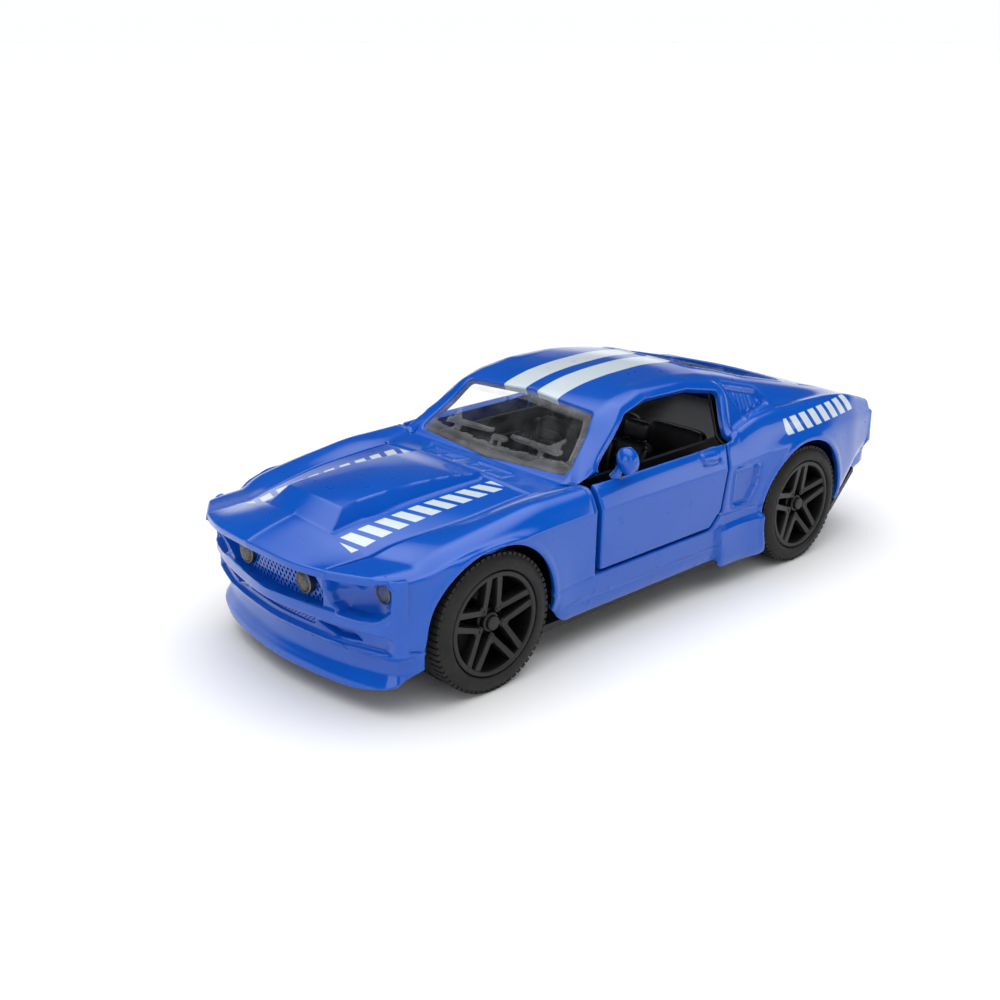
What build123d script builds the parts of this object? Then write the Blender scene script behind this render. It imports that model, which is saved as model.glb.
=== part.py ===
"""Diecast collector car: a fastback coupe with opening doors and a pull-back motor.

Millimetres. +X points forward, +Y to the car's left, +Z up.
The origin is on the ground, under the middle of the car.
"""
from build123d import *
import os
from math import acos, cos, degrees, hypot, pi, radians, sin, tan

os.makedirs("parts", exist_ok=True)

# ---------------------------------------------------------------- driving dimensions
NOSE_X = 66.0              # front end of the hood lip
TAIL_X = -66.0             # rear end of the tail lamps
HALF_WIDTH = 26.5          # at the rear wheel arches
ROOF_Z = 38.2              # top of the roof
CREASE_Z = 22.8            # height of the widest line along the flanks
SILL_Z = 6.3               # lower edge of the sills
BELT_Z = 27.3              # lower edge of the side windows
HOOD_Z = 26.4              # hood at the cowl
WALL = 1.2                 # cast body wall

FRONT_AXLE_X = 40.8
WHEELBASE = 76.0
TYRE_R = 11.1
TYRE_WIDTH = 12.6
TYRE_OUTER_Y = 26.3
RIM_R = 8.3
RIM_WALL = 0.9
RIM_FACE_INSET = 0.3       # the rim's outer edge behind the tyre's outer side
AXLE_R = 1.0
ARCH_GAP = 1.1             # tyre tread to wheel arch

BEARING_CLEARANCE = 0.05   # radial, for each shaft, pin and trunnion
DOOR_REAR_X = -13.0
DOOR_FRONT_X = 18.3
DOOR_BOTTOM_Z = 12.9
DOOR_FRONT_GAP = 1.1
DOOR_GAP = 0.45
HINGE_BACK = 3.2           # hinge axis behind the door's front edge
HINGE_LUG_GAP = 0.25       # between a hinge lug and the door's inner face
HINGE_PIN_R = 0.45
HINGE_LUG_R = 1.0
HINGE_LUG_Z = 1.2          # thickness of a hinge lug
HINGE_END_GAP = 0.1        # between a lug and the column it carries

CHASSIS_Z = 4.6            # underside of the base plate
CHASSIS_WALL = 1.2
TUB_HALF_WIDTH = 18.0
TUB_WALL = 1.0
GLASS_WALL = 0.8
GLASS_FIT = 0.08           # round the edge of each window opening
INSERT_FIT = 0.1           # round the front and rear inserts

GEAR_MODULE = 0.4
PINION_TEETH = 12
WHEEL_TEETH = 24
GEAR_BACKLASH = 0.12
GEAR_FACE = 1.6
SCREW_R = 0.8
SCREW_HEAD_R = 1.8

# ---------------------------------------------------------------- derived places
REAR_AXLE_X = FRONT_AXLE_X - WHEELBASE
AXLE_Z = TYRE_R
ARCH_R = TYRE_R + ARCH_GAP
TYRE_INNER_Y = TYRE_OUTER_Y - TYRE_WIDTH
RIM_OUTER_Y = TYRE_OUTER_Y - RIM_FACE_INSET
CHASSIS_TOP = CHASSIS_Z + CHASSIS_WALL
FLANK_Y = HALF_WIDTH - 0.75          # half width at the doors
HINGE_X = DOOR_FRONT_X - HINGE_BACK
HINGE_Y = FLANK_Y - WALL - HINGE_LUG_GAP - HINGE_LUG_R
LOWER_LUG_Z = DOOR_BOTTOM_Z - 0.4
COLUMN_Z0 = LOWER_LUG_Z + HINGE_LUG_Z + HINGE_END_GAP
COLUMN_Z1 = CREASE_Z - 0.9
UPPER_LUG_Z = COLUMN_Z1 + HINGE_END_GAP
POST_Y = TUB_HALF_WIDTH + 0.6        # inner face of the hinge posts
HOUSING_Y = TYRE_INNER_Y - 1.0       # half width between the wheels
CENTRE_DISTANCE = GEAR_MODULE * (PINION_TEETH + WHEEL_TEETH) / 2
IDLER_X = REAR_AXLE_X + CENTRE_DISTANCE
SPRING_X = IDLER_X + CENTRE_DISTANCE
WHEEL_TIP_R = GEAR_MODULE * (WHEEL_TEETH / 2 + 0.8)
FAR = 80.0                           # beyond the car in any direction


# ---------------------------------------------------------------- helpers
def block(x0, x1, y0, y1, z0, z1):
    """A box from its limits."""
    middle = Pos((x0 + x1) / 2, (y0 + y1) / 2, (z0 + z1) / 2)
    return middle * Box(abs(x1 - x0), abs(y1 - y0), abs(z1 - z0))


def outline(points, inset=0.0):
    """A closed face through the points, pulled in by the inset."""
    face = make_face(Polyline(*points, close=True))
    if inset:
        face = offset(face, amount=-inset, kind=Kind.INTERSECTION)
    return face


def across(points, inset=0.0, y0=-FAR, y1=FAR):
    """A side outline (x, z) carried across the car from y0 to y1."""
    face = outline(points, inset)
    solid = extrude(Plane.XZ * face, amount=y1 - y0)
    return Pos(0, y1, 0) * solid


def upward(points, inset=0.0, z0=-FAR, z1=FAR):
    """A plan outline (x, y) carried up from z0 to z1."""
    return Pos(0, 0, z0) * extrude(outline(points, inset), amount=z1 - z0)


def lengthwise(points, inset=0.0, x0=-FAR, x1=FAR):
    """A section (y, z) carried along the car from x0 to x1."""
    face = outline(points, inset)
    return Pos(x0, 0, 0) * extrude(Plane.YZ * face, amount=x1 - x0)


def mirrored_half(points):
    """A left half outline, joined to its mirror image on the right."""
    return points + [(-y, z) for y, z in reversed(points)]


def cross_shaft(x, z, radius, y0, y1):
    """A round bar across the car."""
    bar = Cylinder(radius, abs(y1 - y0), rotation=(90, 0, 0))
    return Pos(x, (y0 + y1) / 2, z) * bar


def upright(x, y, radius, z0, z1):
    """A round bar standing up."""
    return Pos(x, y, (z0 + z1) / 2) * Cylinder(radius, z1 - z0)


def forward_bar(y, z, radius, x0, x1):
    """A round bar pointing forward."""
    bar = Cylinder(radius, abs(x1 - x0), rotation=(0, 90, 0))
    return Pos((x0 + x1) / 2, y, z) * bar


def right_side(solid):
    """The mirror image of a left-hand piece."""
    return mirror(solid, about=Plane.XZ)


# ---------------------------------------------------------------- body outlines
HAUNCH_Z = BELT_Z + 2.5
SIDE_LINE = [
    (NOSE_X, -FAR), (NOSE_X, HOOD_Z - 2.8), (NOSE_X - 6, HOOD_Z - 1.2),
    (NOSE_X - 17, HOOD_Z - 0.5), (20.0, HOOD_Z + 0.2), (-14.0, BELT_Z),
    (-23.5, HAUNCH_Z), (-34.0, HAUNCH_Z - 0.5), (-49.0, HAUNCH_Z - 1.4),
    (TAIL_X + 5.0, BELT_Z - 0.9), (TAIL_X + 2.0, BELT_Z - 2.2), (TAIL_X + 1.0, -FAR),
]
PLAN_HALF = [
    (NOSE_X, 4.0), (NOSE_X - 0.8, 8.5), (NOSE_X - 2.6, 15.0), (NOSE_X - 5.6, 20.0),
    (NOSE_X - 7.8, 24.2), (52.0, HALF_WIDTH - 1.2), (FRONT_AXLE_X, HALF_WIDTH - 0.3),
    (26.0, FLANK_Y), (-15.0, FLANK_Y), (REAR_AXLE_X + 6, HALF_WIDTH),
    (REAR_AXLE_X - 4, HALF_WIDTH), (-50.0, HALF_WIDTH - 1.3),
    (TAIL_X + 5.0, HALF_WIDTH - 3.2), (TAIL_X, HALF_WIDTH - 5.0),
]
SECTION_HALF = [
    (FLANK_Y - 1.2, -FAR), (FLANK_Y - 1.2, CHASSIS_Z), (FLANK_Y - 0.6, SILL_Z + 1.5),
    (FLANK_Y - 0.3, 12.0), (HALF_WIDTH, CREASE_Z - 1.0), (HALF_WIDTH - 0.3, CREASE_Z),
    (HALF_WIDTH - 2.1, BELT_Z - 1.3), (HALF_WIDTH - 4.5, HAUNCH_Z + 0.4),
]
ROOF_LINE = [
    (21.0, 0.0), (19.5, HOOD_Z - 0.1), (9.4, ROOF_Z - 2.2), (2.2, ROOF_Z - 0.6),
    (-8.0, ROOF_Z), (-19.2, ROOF_Z - 0.8), (-31.5, ROOF_Z - 3.4),
    (-43.3, ROOF_Z - 6.8), (TAIL_X + 2.0, ROOF_Z - 13.3), (TAIL_X + 2.0, 0.0),
]
CABIN_HALF = [
    (22.6, 0.0), (22.3, BELT_Z), (17.4, ROOF_Z - 3.2), (14.5, ROOF_Z - 1.2), (9.0, ROOF_Z),
]
ROCKER_LINE = [
    (NOSE_X + 1, -FAR), (NOSE_X + 1, 10.4), (55.5, 10.4), (28.0, 9.9), (25.5, SILL_Z),
    (-12.8, SILL_Z), (-13.6, SILL_Z - 1.2), (-22.6, SILL_Z - 1.2), (-46.0, 9.0),
    (-51.0, 11.3), (TAIL_X - 1, 15.7), (TAIL_X - 1, -FAR),
]
WINDSHIELD_HALF = [(17.4, BELT_Z + 0.2), (14.8, ROOF_Z - 3.4)]
REAR_GLASS_HALF = [(-22.0, 10.0), (-32.0, 12.6), (-41.5, 12.8)]
SIDE_WINDOW = [
    (14.6, BELT_Z), (5.5, ROOF_Z - 4.0), (-1.3, ROOF_Z - 2.4), (-12.0, ROOF_Z - 2.6),
    (-18.6, ROOF_Z - 4.0), (-15.6, BELT_Z),
]
BULGE_LINE = [
    (57.7, HOOD_Z - 2.0), (57.7, HOOD_Z - 0.7), (54.7, HOOD_Z + 1.6), (50.8, HOOD_Z + 2.1),
    (42.0, HOOD_Z + 2.1), (28.9, HOOD_Z + 1.0), (27.0, HOOD_Z - 0.5), (27.0, HOOD_Z - 2.0),
]
BULGE_HALF = [(8.5, HOOD_Z - 2.0), (8.5, HOOD_Z - 0.3), (6.6, HOOD_Z + 2.2)]
FRONT_POCKET_X = 57.0
FRONT_POCKET_Y = 22.6
FRONT_POCKET_Z = 21.8
REAR_POCKET_X = TAIL_X + 6.0
REAR_POCKET_Y = 21.4
REAR_POCKET_Z = 24.4
FRONT_BOSS_X = 50.0
REAR_BOSS_X = -45.0
BOSSES = {FRONT_BOSS_X: HOOD_Z - 0.8, REAR_BOSS_X: ROOF_Z - 8.2}    # x: top
BOSS_R = 2.2


def plan_loop(half):
    """A whole plan outline from its left half, given as (x, y)."""
    return half + [(x, -y) for x, y in reversed(half)]


def door_outline(gap):
    """The door's side outline, grown by the gaps that surround it."""
    front = DOOR_FRONT_X + (DOOR_FRONT_GAP if gap else 0.0)
    side = DOOR_GAP if gap else 0.0
    top = BELT_Z + 0.1 if gap else BELT_Z - 0.2
    rear_low = (DOOR_REAR_X + 3.6 - side, DOOR_BOTTOM_Z - side)
    rear_corner = (DOOR_REAR_X + 0.9 - side, DOOR_BOTTOM_Z + 2.7 - side)
    return [
        (front, top), (front - 0.5, DOOR_BOTTOM_Z - side), rear_low, rear_corner,
        (DOOR_REAR_X - side, CREASE_Z), (DOOR_REAR_X - 0.6 - side, top),
    ]


def flanks(inset):
    """Everything inside the plan outline and the cross-section."""
    plan = upward(plan_loop(PLAN_HALF), inset)
    return plan & lengthwise(mirrored_half(SECTION_HALF), inset)


def lower_body(inset):
    """The body below the windows, pulled in by the inset, without a floor."""
    return flanks(inset) & across(SIDE_LINE, inset)


def cabin(inset):
    """The roof and pillars as one block, pulled in by the inset."""
    section = lengthwise(mirrored_half(CABIN_HALF), inset)
    block_above_hood = across(ROOF_LINE, inset)
    return section & block_above_hood


def hood_bulge(inset):
    """The raised middle of the hood."""
    return across(BULGE_LINE, inset) & lengthwise(mirrored_half(BULGE_HALF), inset)


def windshield_opening(inset=0.0):
    """The straight way in through the windshield frame."""
    return lengthwise(mirrored_half(WINDSHIELD_HALF), inset, 4.0, 24.0)


def rear_glass_opening(inset=0.0):
    """The straight way down through the rear window frame."""
    return upward(plan_loop(REAR_GLASS_HALF), inset, 28.0, ROOF_Z + 5)


def hinge_lug(z0):
    """The ring that a hinge pin turns in, with its arm towards the cabin."""
    ring = upright(HINGE_X, HINGE_Y, HINGE_LUG_R, z0, z0 + HINGE_LUG_Z)
    arm = block(HINGE_X - 0.8, HINGE_X + 0.8, TUB_HALF_WIDTH - 0.5, HINGE_Y, z0, z0 + HINGE_LUG_Z)
    hole = upright(HINGE_X, HINGE_Y, HINGE_PIN_R + BEARING_CLEARANCE, z0 - 1, z0 + HINGE_LUG_Z + 1)
    return ring + arm - hole


# ---------------------------------------------------------------- body pieces
def hinge_post():
    """The inner post beside the left door's front edge, with the upper lug."""
    panel = block(HINGE_X - 1.4, DOOR_FRONT_X + 3.0, POST_Y, POST_Y + WALL, 14.2, HOOD_Z - 0.3)
    foot_of_pillar = block(HINGE_X - 1.2, 18.0, POST_Y, 21.6, BELT_Z + 0.1, BELT_Z + 1.1)
    neck = block(HINGE_X - 1.4, 17.4, POST_Y, POST_Y + WALL, HOOD_Z - 0.4, BELT_Z + 1.1)
    lug = hinge_lug(UPPER_LUG_Z) & block(0, FAR, POST_Y, FAR, 0, FAR)
    return panel + foot_of_pillar + neck + lug


def arch_cut(x):
    """The two wheel arches on one axle line."""
    left = cross_shaft(x, AXLE_Z, ARCH_R, HOUSING_Y, FAR)
    return left + right_side(left)


def screw_boss(x):
    """A post inside the body that takes a base screw."""
    return upright(x, 0, BOSS_R, CHASSIS_TOP, BOSSES[x])


def make_body_shell():
    """The cast body: hollow, open below, with its windows and door openings."""
    outer = lower_body(0.0) + cabin(0.0) + hood_bulge(0.0)
    inner = lower_body(WALL) + cabin(WALL)
    shell = outer - across(ROCKER_LINE) - inner
    shell -= windshield_opening()
    shell -= rear_glass_opening()
    shell -= across(SIDE_WINDOW)
    shell -= across(door_outline(gap=True))
    shell -= arch_cut(FRONT_AXLE_X)
    shell -= arch_cut(REAR_AXLE_X)
    shell -= block(FRONT_POCKET_X, FAR, -FRONT_POCKET_Y, FRONT_POCKET_Y, -1, FRONT_POCKET_Z)
    shell -= block(-FAR, REAR_POCKET_X, -REAR_POCKET_Y, REAR_POCKET_Y, -1, REAR_POCKET_Z)
    posts = hinge_post()
    shell += posts + right_side(posts)
    for x in BOSSES:
        shell += screw_boss(x)
        shell -= upright(x, 0, SCREW_R, CHASSIS_TOP - 1, CHASSIS_TOP + 9)
    return shell


def make_glazing():
    """One clear moulding: windshield, a strip under the roof, and the rear glass."""
    skin = cabin(WALL) - cabin(WALL + GLASS_WALL)
    skin &= block(REAR_BOSS_X + BOSS_R + 0.3, 17.6, -17.2, 17.2, BELT_Z + 0.6, ROOF_Z)
    skin &= across([(22, BELT_Z - 1), (9, ROOF_Z + 1), (-47, ROOF_Z + 1), (-47, 29.0),
                    (-30, 32.0), (5.0, ROOF_Z - 3.6), (12.5, BELT_Z - 1)])
    pane = cabin(0.15) - cabin(WALL)
    front_pane = pane & windshield_opening(GLASS_FIT)
    rear_pane = pane & rear_glass_opening(GLASS_FIT)
    return skin + front_pane + rear_pane


def make_door():
    """The left door: an outer skin with a hinge column and two pins."""
    skin = flanks(0.0) - flanks(WALL)
    skin &= across(door_outline(gap=False), 0.0, POST_Y, FAR)
    column = upright(HINGE_X, HINGE_Y, 0.9, COLUMN_Z0, COLUMN_Z1)
    web = block(HINGE_X - 0.7, HINGE_X + 0.7, HINGE_Y, FLANK_Y - WALL + 0.2, COLUMN_Z0, COLUMN_Z1)
    pin_ends = (LOWER_LUG_Z + HINGE_END_GAP, UPPER_LUG_Z + HINGE_LUG_Z - HINGE_END_GAP)
    pins = upright(HINGE_X, HINGE_Y, HINGE_PIN_R, *pin_ends)
    handle = block(DOOR_REAR_X + 2.2, DOOR_REAR_X + 6.2, FLANK_Y - 2.2, FLANK_Y - 0.6, 24.7, 26.0)
    return skin + column + web + pins + handle


def make_mirror():
    """The left door mirror, the only one fitted: an oval head on a short stalk."""
    y = FLANK_Y - 0.85
    z = BELT_Z + 2.7
    head = Pos(HINGE_X - 2.6, y, z) * scale(Sphere(2.3), (1.0, 0.75, 1.0))
    head &= block(HINGE_X - 4.0, HINGE_X - 0.2, 0, FAR, 0, FAR)
    stalk = upright(HINGE_X - 2.6, FLANK_Y - 2.75, 0.6, BELT_Z - 0.2, z)
    return head + stalk


# ---------------------------------------------------------------- inserts and lamps
def insert_block(x0, x1, half_y, z0, z1, setback):
    """A block that fills an end pocket, its face following the body's plan."""
    body = upward(plan_loop(PLAN_HALF), setback)
    return body & block(x0, x1, -half_y, half_y, z0, z1)


AIR_DAM_HALF = [(62.1, 4.0), (61.6, 9.0), (60.4, 15.5), (58.3, 22.2), (55.0, 25.0), (50.5, 25.0)]
LAMP_Z = 18.4
LAMP_Y = 20.0
HEADLAMP_R = 1.7
HEADLAMP_X = 58.6
DRIVING_LAMP_Y = 7.6
DRIVING_LAMP_R = 1.6
GRILLE_X = 60.8
TAIL_LAMP_Z = (17.6, 22.6)
TAIL_LAMP_Y = (8.5, 19.5)


def make_front_fascia():
    """The grille, bumper bar and air dam, moulded in one."""
    half_y = FRONT_POCKET_Y - INSERT_FIT
    top = FRONT_POCKET_Z
    core = insert_block(FRONT_POCKET_X, FAR, half_y, 10.6, top, 1.2)
    core -= block(GRILLE_X, FAR, -13.6, 13.6, 15.4, FAR)
    for side in (-1, 1):
        y0, y1 = sorted((side * 15.0, side * 23.0))
        core -= block(HEADLAMP_X - 0.6, FAR, y0, y1, 15.6, 21.2)
    core -= block(GRILLE_X - 0.6, FAR, -12.0, 12.0, 11.2, 13.6)
    dam = upward(plan_loop(AIR_DAM_HALF), 0.0, CHASSIS_Z - 0.5, 10.25)
    dam -= upward(plan_loop(AIR_DAM_HALF), 1.6, CHASSIS_TOP, 9.0)
    dam -= block(0, 51.9, -FAR, FAR, 0, FAR)
    dam -= block(0, FRONT_POCKET_X - 1.0, -HOUSING_Y, HOUSING_Y, 0, FAR)
    arch = cross_shaft(FRONT_AXLE_X, AXLE_Z, ARCH_R, -FAR, FAR)
    neck = block(FRONT_POCKET_X, 59.0, -half_y, half_y, 10.0, 11.0)
    return core + neck + (dam - arch)


def make_headlamp():
    """The left headlamp lens, at the back of its bucket."""
    return forward_bar(LAMP_Y, LAMP_Z, HEADLAMP_R, HEADLAMP_X - 0.6, HEADLAMP_X + 0.5)


def make_driving_lamp():
    """The left driving lamp in the grille."""
    return forward_bar(DRIVING_LAMP_Y, LAMP_Z, DRIVING_LAMP_R, GRILLE_X, GRILLE_X + 1.6)


def make_tail_panel():
    """The rear panel between the quarters, with the bumper below it."""
    half_y = REAR_POCKET_Y - INSERT_FIT
    panel = block(TAIL_X + 0.9, REAR_POCKET_X, -half_y, half_y, 15.0, REAR_POCKET_Z)
    for side in (-1, 1):
        y0, y1 = sorted((side * TAIL_LAMP_Y[0], side * TAIL_LAMP_Y[1]))
        panel -= block(-FAR, TAIL_X + 1.8, y0, y1, *TAIL_LAMP_Z)
    bumper = block(TAIL_X + 0.4, REAR_POCKET_X, -half_y, half_y, 12.2, 15.2)
    return panel + bumper


def make_tail_lamp():
    """The left tail lamp, set in the rear panel."""
    return block(TAIL_X, TAIL_X + 1.8, *TAIL_LAMP_Y, *TAIL_LAMP_Z)


# ---------------------------------------------------------------- base, cabin and motor
MOTOR_HALF_Y = 6.4
MOTOR_WALL = 0.8
MOTOR_X = (REAR_AXLE_X - 4.0, SPRING_X + WHEEL_TIP_R + 1.1)
MOTOR_Z = (AXLE_Z - WHEEL_TIP_R - 1.1, AXLE_Z + WHEEL_TIP_R + 1.1)
TUB_FLOOR_Z = 8.6
TUB_STEP_X = MOTOR_X[1] + 1.6
TUB_BACK_X = REAR_AXLE_X + ARCH_R + 0.5    # rear end of the wide part, ahead of the wheels
TUB_SHELF_Z = MOTOR_Z[1] + 1.3
TUB_FRONT_X = 20.0
TUB_REAR_X = REAR_BOSS_X + BOSS_R + 0.4
EAR_Y = HOUSING_Y - 1.8


def axle_ears(x):
    """The pair of bearing ears that carries an axle."""
    ear = block(x - 2.3, x + 2.3, EAR_Y, HOUSING_Y - 0.2, CHASSIS_Z, AXLE_Z + 2.2)
    ear -= cross_shaft(x, AXLE_Z, AXLE_R + BEARING_CLEARANCE, 0, FAR)
    return ear + right_side(ear)


def make_chassis():
    """The base plate, swept up behind the rear wheels, with its axle ears."""
    front_x = FRONT_POCKET_X - 1.1
    rear_x = TAIL_X + 7.0
    side = [
        (front_x, CHASSIS_Z), (front_x, CHASSIS_TOP), (-48.0, CHASSIS_TOP), (rear_x, 12.2),
        (rear_x, 11.0), (-48.0, CHASSIS_Z),
    ]
    plate = across(side) & upward(plan_loop(PLAN_HALF), WALL + 0.8)
    half_y = FLANK_Y - WALL - 1.35
    plate &= block(-FAR, FAR, -half_y, half_y, 0, FAR)
    for x in (FRONT_AXLE_X, REAR_AXLE_X):
        for side_sign in (-1, 1):
            y0, y1 = sorted((side_sign * HOUSING_Y, side_sign * FAR))
            plate -= block(x - ARCH_R, x + ARCH_R, y0, y1, 0, FAR)
    plate -= block(MOTOR_X[0] - 0.1, MOTOR_X[1] + 0.1, -MOTOR_HALF_Y - 0.1, MOTOR_HALF_Y + 0.1, 0, FAR)
    plate -= block(50.0, FAR, -FAR, -HOUSING_Y, 0, FAR)
    plate -= block(50.0, FAR, HOUSING_Y, FAR, 0, FAR)
    for x in BOSSES:
        plate -= upright(x, 0, SCREW_R + 0.3, 0, FAR)
        plate -= upright(x, 0, SCREW_HEAD_R + 0.2, 0, CHASSIS_Z + 0.5)
    return plate + axle_ears(FRONT_AXLE_X) + axle_ears(REAR_AXLE_X)


def make_screws():
    """The two self-tapping base screws, driven up into the body's bosses."""
    screws = []
    for x in BOSSES:
        recess = CHASSIS_Z + 0.5
        screw = upright(x, 0, SCREW_HEAD_R, recess - 0.9, recess)
        screw += upright(x, 0, SCREW_R, recess, recess + 6.0)
        screw -= block(x - 1.2, x + 1.2, -0.2, 0.2, recess - 1.0, recess - 0.5)
        screw -= block(x - 0.2, x + 0.2, -1.2, 1.2, recess - 1.0, recess - 0.5)
        screws.append(screw)
    return Compound(children=screws)


def seat(y):
    """One front bucket seat."""
    cushion = block(-5.5, 5.0, y - 5.2, y + 5.2, TUB_FLOOR_Z, TUB_FLOOR_Z + 6.0)
    back = across([(-5.6, TUB_FLOOR_Z), (-2.4, TUB_FLOOR_Z), (-5.4, 26.0), (-8.2, 26.0)],
                  0.0, y - 5.0, y + 5.0)
    headrest = block(-8.4, -5.8, y - 2.6, y + 2.6, 25.6, 30.0)
    return cushion + back + headrest


def make_tub():
    """The cabin floor, side walls, seats and rear shelf, moulded in one."""
    top = 24.0
    line = [
        (TUB_FRONT_X, top), (TUB_FRONT_X, TUB_FLOOR_Z - TUB_WALL), (TUB_STEP_X, TUB_FLOOR_Z - TUB_WALL),
        (TUB_STEP_X, TUB_SHELF_Z - TUB_WALL), (TUB_BACK_X, TUB_SHELF_Z - TUB_WALL), (TUB_BACK_X, top),
    ]
    space = [
        (TUB_FRONT_X - TUB_WALL, FAR), (TUB_FRONT_X - TUB_WALL, TUB_FLOOR_Z),
        (TUB_STEP_X + TUB_WALL, TUB_FLOOR_Z), (TUB_STEP_X + TUB_WALL, TUB_SHELF_Z),
        (TUB_BACK_X + TUB_WALL, TUB_SHELF_Z), (TUB_BACK_X + TUB_WALL, FAR),
    ]
    tub = across(line, 0.0, -TUB_HALF_WIDTH, TUB_HALF_WIDTH)
    tub -= across(space, 0.0, -TUB_HALF_WIDTH + TUB_WALL, TUB_HALF_WIDTH - TUB_WALL)
    shelf = block(TUB_REAR_X, TUB_BACK_X + TUB_WALL / 2, -HOUSING_Y, HOUSING_Y, top - TUB_WALL, top)
    feet = block(TUB_STEP_X + 1.0, TUB_FRONT_X - 2.0, -2.0, 2.0, CHASSIS_TOP, TUB_FLOOR_Z - TUB_WALL / 2)
    lugs = hinge_lug(LOWER_LUG_Z)
    return tub + shelf + feet + seat(9.2) + seat(-9.2) + lugs + right_side(lugs)


DASH_X = (12.4, TUB_FRONT_X - TUB_WALL)
STEERING_X = 9.6
STEERING_Y = 9.2
STEERING_Z = 22.6
STEERING_TILT = 25.0


def make_dashboard():
    """The dashboard with the boss that holds the steering column."""
    half_y = TUB_HALF_WIDTH - TUB_WALL
    line = [
        (DASH_X[1], 17.5), (DASH_X[1], 25.0), (DASH_X[0] + 1, 25.0), (DASH_X[0], 23.6),
        (DASH_X[0], 20.4), (DASH_X[0] + 2, 17.5),
    ]
    dash = across(line, 0.0, -half_y, half_y)
    return dash - steering_column(0.0)


def steering_column(extra_r):
    """The steering column's bar, from the wheel's hub into the dashboard."""
    length = 5.0
    bar = Cylinder(0.7 + extra_r, length, align=(Align.CENTER, Align.CENTER, Align.MIN))
    place = Pos(STEERING_X, STEERING_Y, STEERING_Z) * Rot(0, 90 + STEERING_TILT, 0)
    return place * bar


def make_steering_wheel():
    """The steering wheel: a rim, three spokes and its column."""
    wheel = Torus(3.4, 0.45)
    wheel += Cylinder(0.9, 0.8)
    for turn in (90, 210, 330):
        wheel += Rot(0, 0, turn) * Pos(1.9, 0, 0) * Box(3.2, 0.7, 0.5)
    place = Pos(STEERING_X, STEERING_Y, STEERING_Z) * Rot(0, 90 + STEERING_TILT, 0)
    return place * wheel + steering_column(0.0)


def motor_case():
    """The motor's hollow case with a flange, before it is split in two."""
    case = block(*MOTOR_X, -MOTOR_HALF_Y, MOTOR_HALF_Y, *MOTOR_Z)
    room_y = MOTOR_HALF_Y - MOTOR_WALL
    case -= block(MOTOR_X[0] + MOTOR_WALL, MOTOR_X[1] - MOTOR_WALL, -room_y, room_y,
                  MOTOR_Z[0] + MOTOR_WALL, MOTOR_Z[1] - MOTOR_WALL)
    flange = block(MOTOR_X[0] - 1.4, MOTOR_X[1] + 1.4, -MOTOR_HALF_Y - 1.4, MOTOR_HALF_Y + 1.4,
                   CHASSIS_TOP, CHASSIS_TOP + 0.8)
    flange -= block(*MOTOR_X, -MOTOR_HALF_Y, MOTOR_HALF_Y, 0, FAR)
    case += flange
    case -= cross_shaft(REAR_AXLE_X, AXLE_Z, AXLE_R + BEARING_CLEARANCE, -FAR, FAR)
    for x in (IDLER_X, SPRING_X):
        case -= cross_shaft(x, AXLE_Z, TRUNNION_R + BEARING_CLEARANCE, -FAR, FAR)
    return case


TRUNNION_R = 0.8


def make_motor_lower():
    """The lower half of the motor case, sitting on the base plate."""
    return motor_case() & block(-FAR, FAR, -FAR, FAR, 0, AXLE_Z)


def make_motor_upper():
    """The upper half of the motor case."""
    return motor_case() & block(-FAR, FAR, -FAR, FAR, AXLE_Z, FAR)


def gear(teeth, turn, y0, y1, x):
    """A spur gear with involute flanks, turned by the given degrees."""
    pitch_r = GEAR_MODULE * teeth / 2
    base_r = pitch_r * cos(radians(20))
    tip_r = pitch_r + 0.8 * GEAR_MODULE
    root_r = pitch_r - 1.15 * GEAR_MODULE
    involute_at_pitch = tan(radians(20)) - radians(20)
    half_at_pitch = pi / (2 * teeth) - GEAR_BACKLASH / (2 * pitch_r)
    radii = [max(root_r, base_r) + (tip_r - max(root_r, base_r)) * step / 4 for step in range(5)]
    if root_r < base_r:
        radii.insert(0, root_r)
    flank = []
    for r in radii:
        pressure = acos(min(1.0, base_r / r))
        half = half_at_pitch + involute_at_pitch - (tan(pressure) - pressure)
        flank.append((r, half))
    points = []
    for tooth in range(teeth):
        middle = 2 * pi * tooth / teeth + radians(turn)
        sides = [(r, middle - half) for r, half in flank]
        sides += [(r, middle + half) for r, half in reversed(flank)]
        points += [(r * cos(a), r * sin(a)) for r, a in sides]
    solid = extrude(Plane.XZ * outline(points), amount=y1 - y0)
    return Pos(x, y1, AXLE_Z) * solid


HALF_PITCH = 180.0 / WHEEL_TEETH
MESH_1_Y = 1.0
MESH_2_Y = 3.2


def make_axle_pinion():
    """The small gear pressed on the rear axle."""
    pinion = gear(PINION_TEETH, 0.0, MESH_1_Y - 0.2, MESH_1_Y + GEAR_FACE + 0.2, REAR_AXLE_X)
    return pinion - cross_shaft(REAR_AXLE_X, AXLE_Z, AXLE_R, -FAR, FAR)


def trunnions(x):
    """The shaft that a motor gear turns on, with its ends in the case."""
    return cross_shaft(x, AXLE_Z, TRUNNION_R, -MOTOR_HALF_Y + 0.1, MOTOR_HALF_Y - 0.1)


def make_idler_gear():
    """The middle gear: a large wheel and a small pinion on one shaft."""
    wheel = gear(WHEEL_TEETH, HALF_PITCH, MESH_1_Y, MESH_1_Y + GEAR_FACE, IDLER_X)
    pinion = gear(PINION_TEETH, 0.0, MESH_1_Y + GEAR_FACE, MESH_2_Y + GEAR_FACE + 0.2, IDLER_X)
    return wheel + pinion + trunnions(IDLER_X)


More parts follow.
